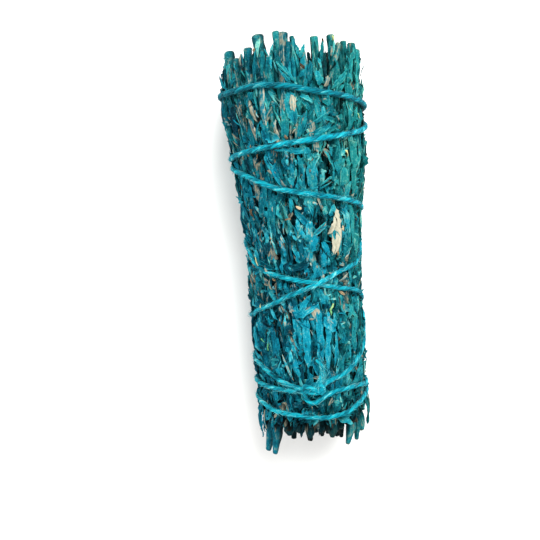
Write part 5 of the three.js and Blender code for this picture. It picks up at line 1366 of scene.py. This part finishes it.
cotton_colour = add_node(tree, "ShaderNodeMix", COLOUR_MIX, i0=high, i6=low_colour, i7=top_colour).outputs[2]
# Painted shade: the string darkens with depth, towards where it lies on the leaves.
deep = add_node(tree, "ShaderNodeAttribute", {"attribute_name": "deep"}).outputs["Fac"]
painted_string_light = add_node(tree, "ShaderNodeMapRange", Value=deep, From_Min=CREST, From_Max=FOOT_OF_STRING, To_Min=1.0,
               To_Max=STRING_SHADE_DARKEST).outputs[0]
cotton_colour = add_node(tree, "ShaderNodeMix", COLOUR_MIX, i0=painted_string_light, i6=linear(STRING_SHADE_COLOUR),
                         i7=cotton_colour).outputs[2]
shader = add_node(tree, "ShaderNodeBsdfPrincipled", Base_Color=cotton_colour, Roughness=0.9, Normal=bump,
                  Specular_IOR_Level=0.03, Sheen_Weight=0.05, Sheen_Roughness=0.5)
add_node(tree, "ShaderNodeOutputMaterial", Surface=shader.outputs[0])
print("cotton fibre pattern in mm:", FIBRE_WIDTH, "by", FIBRE_LENGTH)

# %% [markdown]
# ## Build the pieces
#
# Each fine piece takes the place of one plain solid, and rides on the same body.

# %% Sprigs
PLANT = [dyed_leaf, dyed_wood, tan_bud, fresh_leaf]
CENTRE_SHARE = 0.11  # the centre stem's radius as a share of the bunch's
triangles_made = {}


def stand_in(name, node, shapes, materials):
    """Puts a finer piece in the place of one node, and counts its triangles."""
    piece = make_piece(name, shapes, materials)
    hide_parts(node)
    triangles_made[name] = sum(2 * len(s["quads"]) + len(s["triangles"]) for s in shapes)


for k in range(OUTER_COUNT):
    number = f"{k + 1:02d}"
    stand_in(f"outer_sprig_leaves_{number}", f"outer_sprig_{number}", outer_sprig(k), PLANT)
hidden_rings = ((MIDDLE_COUNT, MIDDLE_RING, 500, "middle"), (INNER_COUNT, INNER_RING, 600, "inner"))
for count, ring, first_seed, kind in hidden_rings:
    for k in range(count):
        number = f"{k + 1:02d}"
        shapes = hidden_sprig(first_seed + k, -np.pi + (k + 0.5) * 2 * np.pi / count, np.pi / count, ring)
        stand_in(f"{kind}_sprig_leaves_{number}", f"{kind}_sprig_{number}", shapes, PLANT[:3])
centre_y = np.linspace(-57, 57, 30)
centre_stem = tube(at(0.0, np.full(30, 0.3), centre_y), CENTRE_SHARE * mean_radius(centre_y), sides=11,
                   ribs=0.07, rough=0.12, seed=9.0, up=np.array([0.0, 0.0, 1.0]), tint=0.4, bare=0.2,
                   material=WOOD)
stand_in("centre_stem", "centre_sprig", [centre_stem], PLANT[:2])
print("sprigs:", len(triangles_made), "triangles:", sum(triangles_made.values()))

# %% String, knot and loose fibres
rng = np.random.default_rng(77)
string_shapes = plies(string_path)
for i, path in enumerate(knot_paths):
    string_shapes += plies(path, seed=10 + i)
string_shapes += plies(tail_path, spread=1.5, seed=20)
string_shapes.append(fibres(rng, string_path, 3000, (0.8, 3.2), (0.05, 0.7)))
string_shapes.append(fibres(rng, tail_path, 200, (1.5, 4.0), (0.1, 1.4), spread=1.2))
stand_in("cotton_string_plies", "cotton_string", string_shapes, [dyed_cotton])
print("string triangles:", triangles_made["cotton_string_plies"])

# %% [markdown]
# ## Triangle counts
#
# The detail may stand only a little proud of the solids. Here the triangles of all the pieces are counted.

# %% Finish
print("all triangles:", sum(triangles_made.values()), "most in one piece:", max(triangles_made.values()))
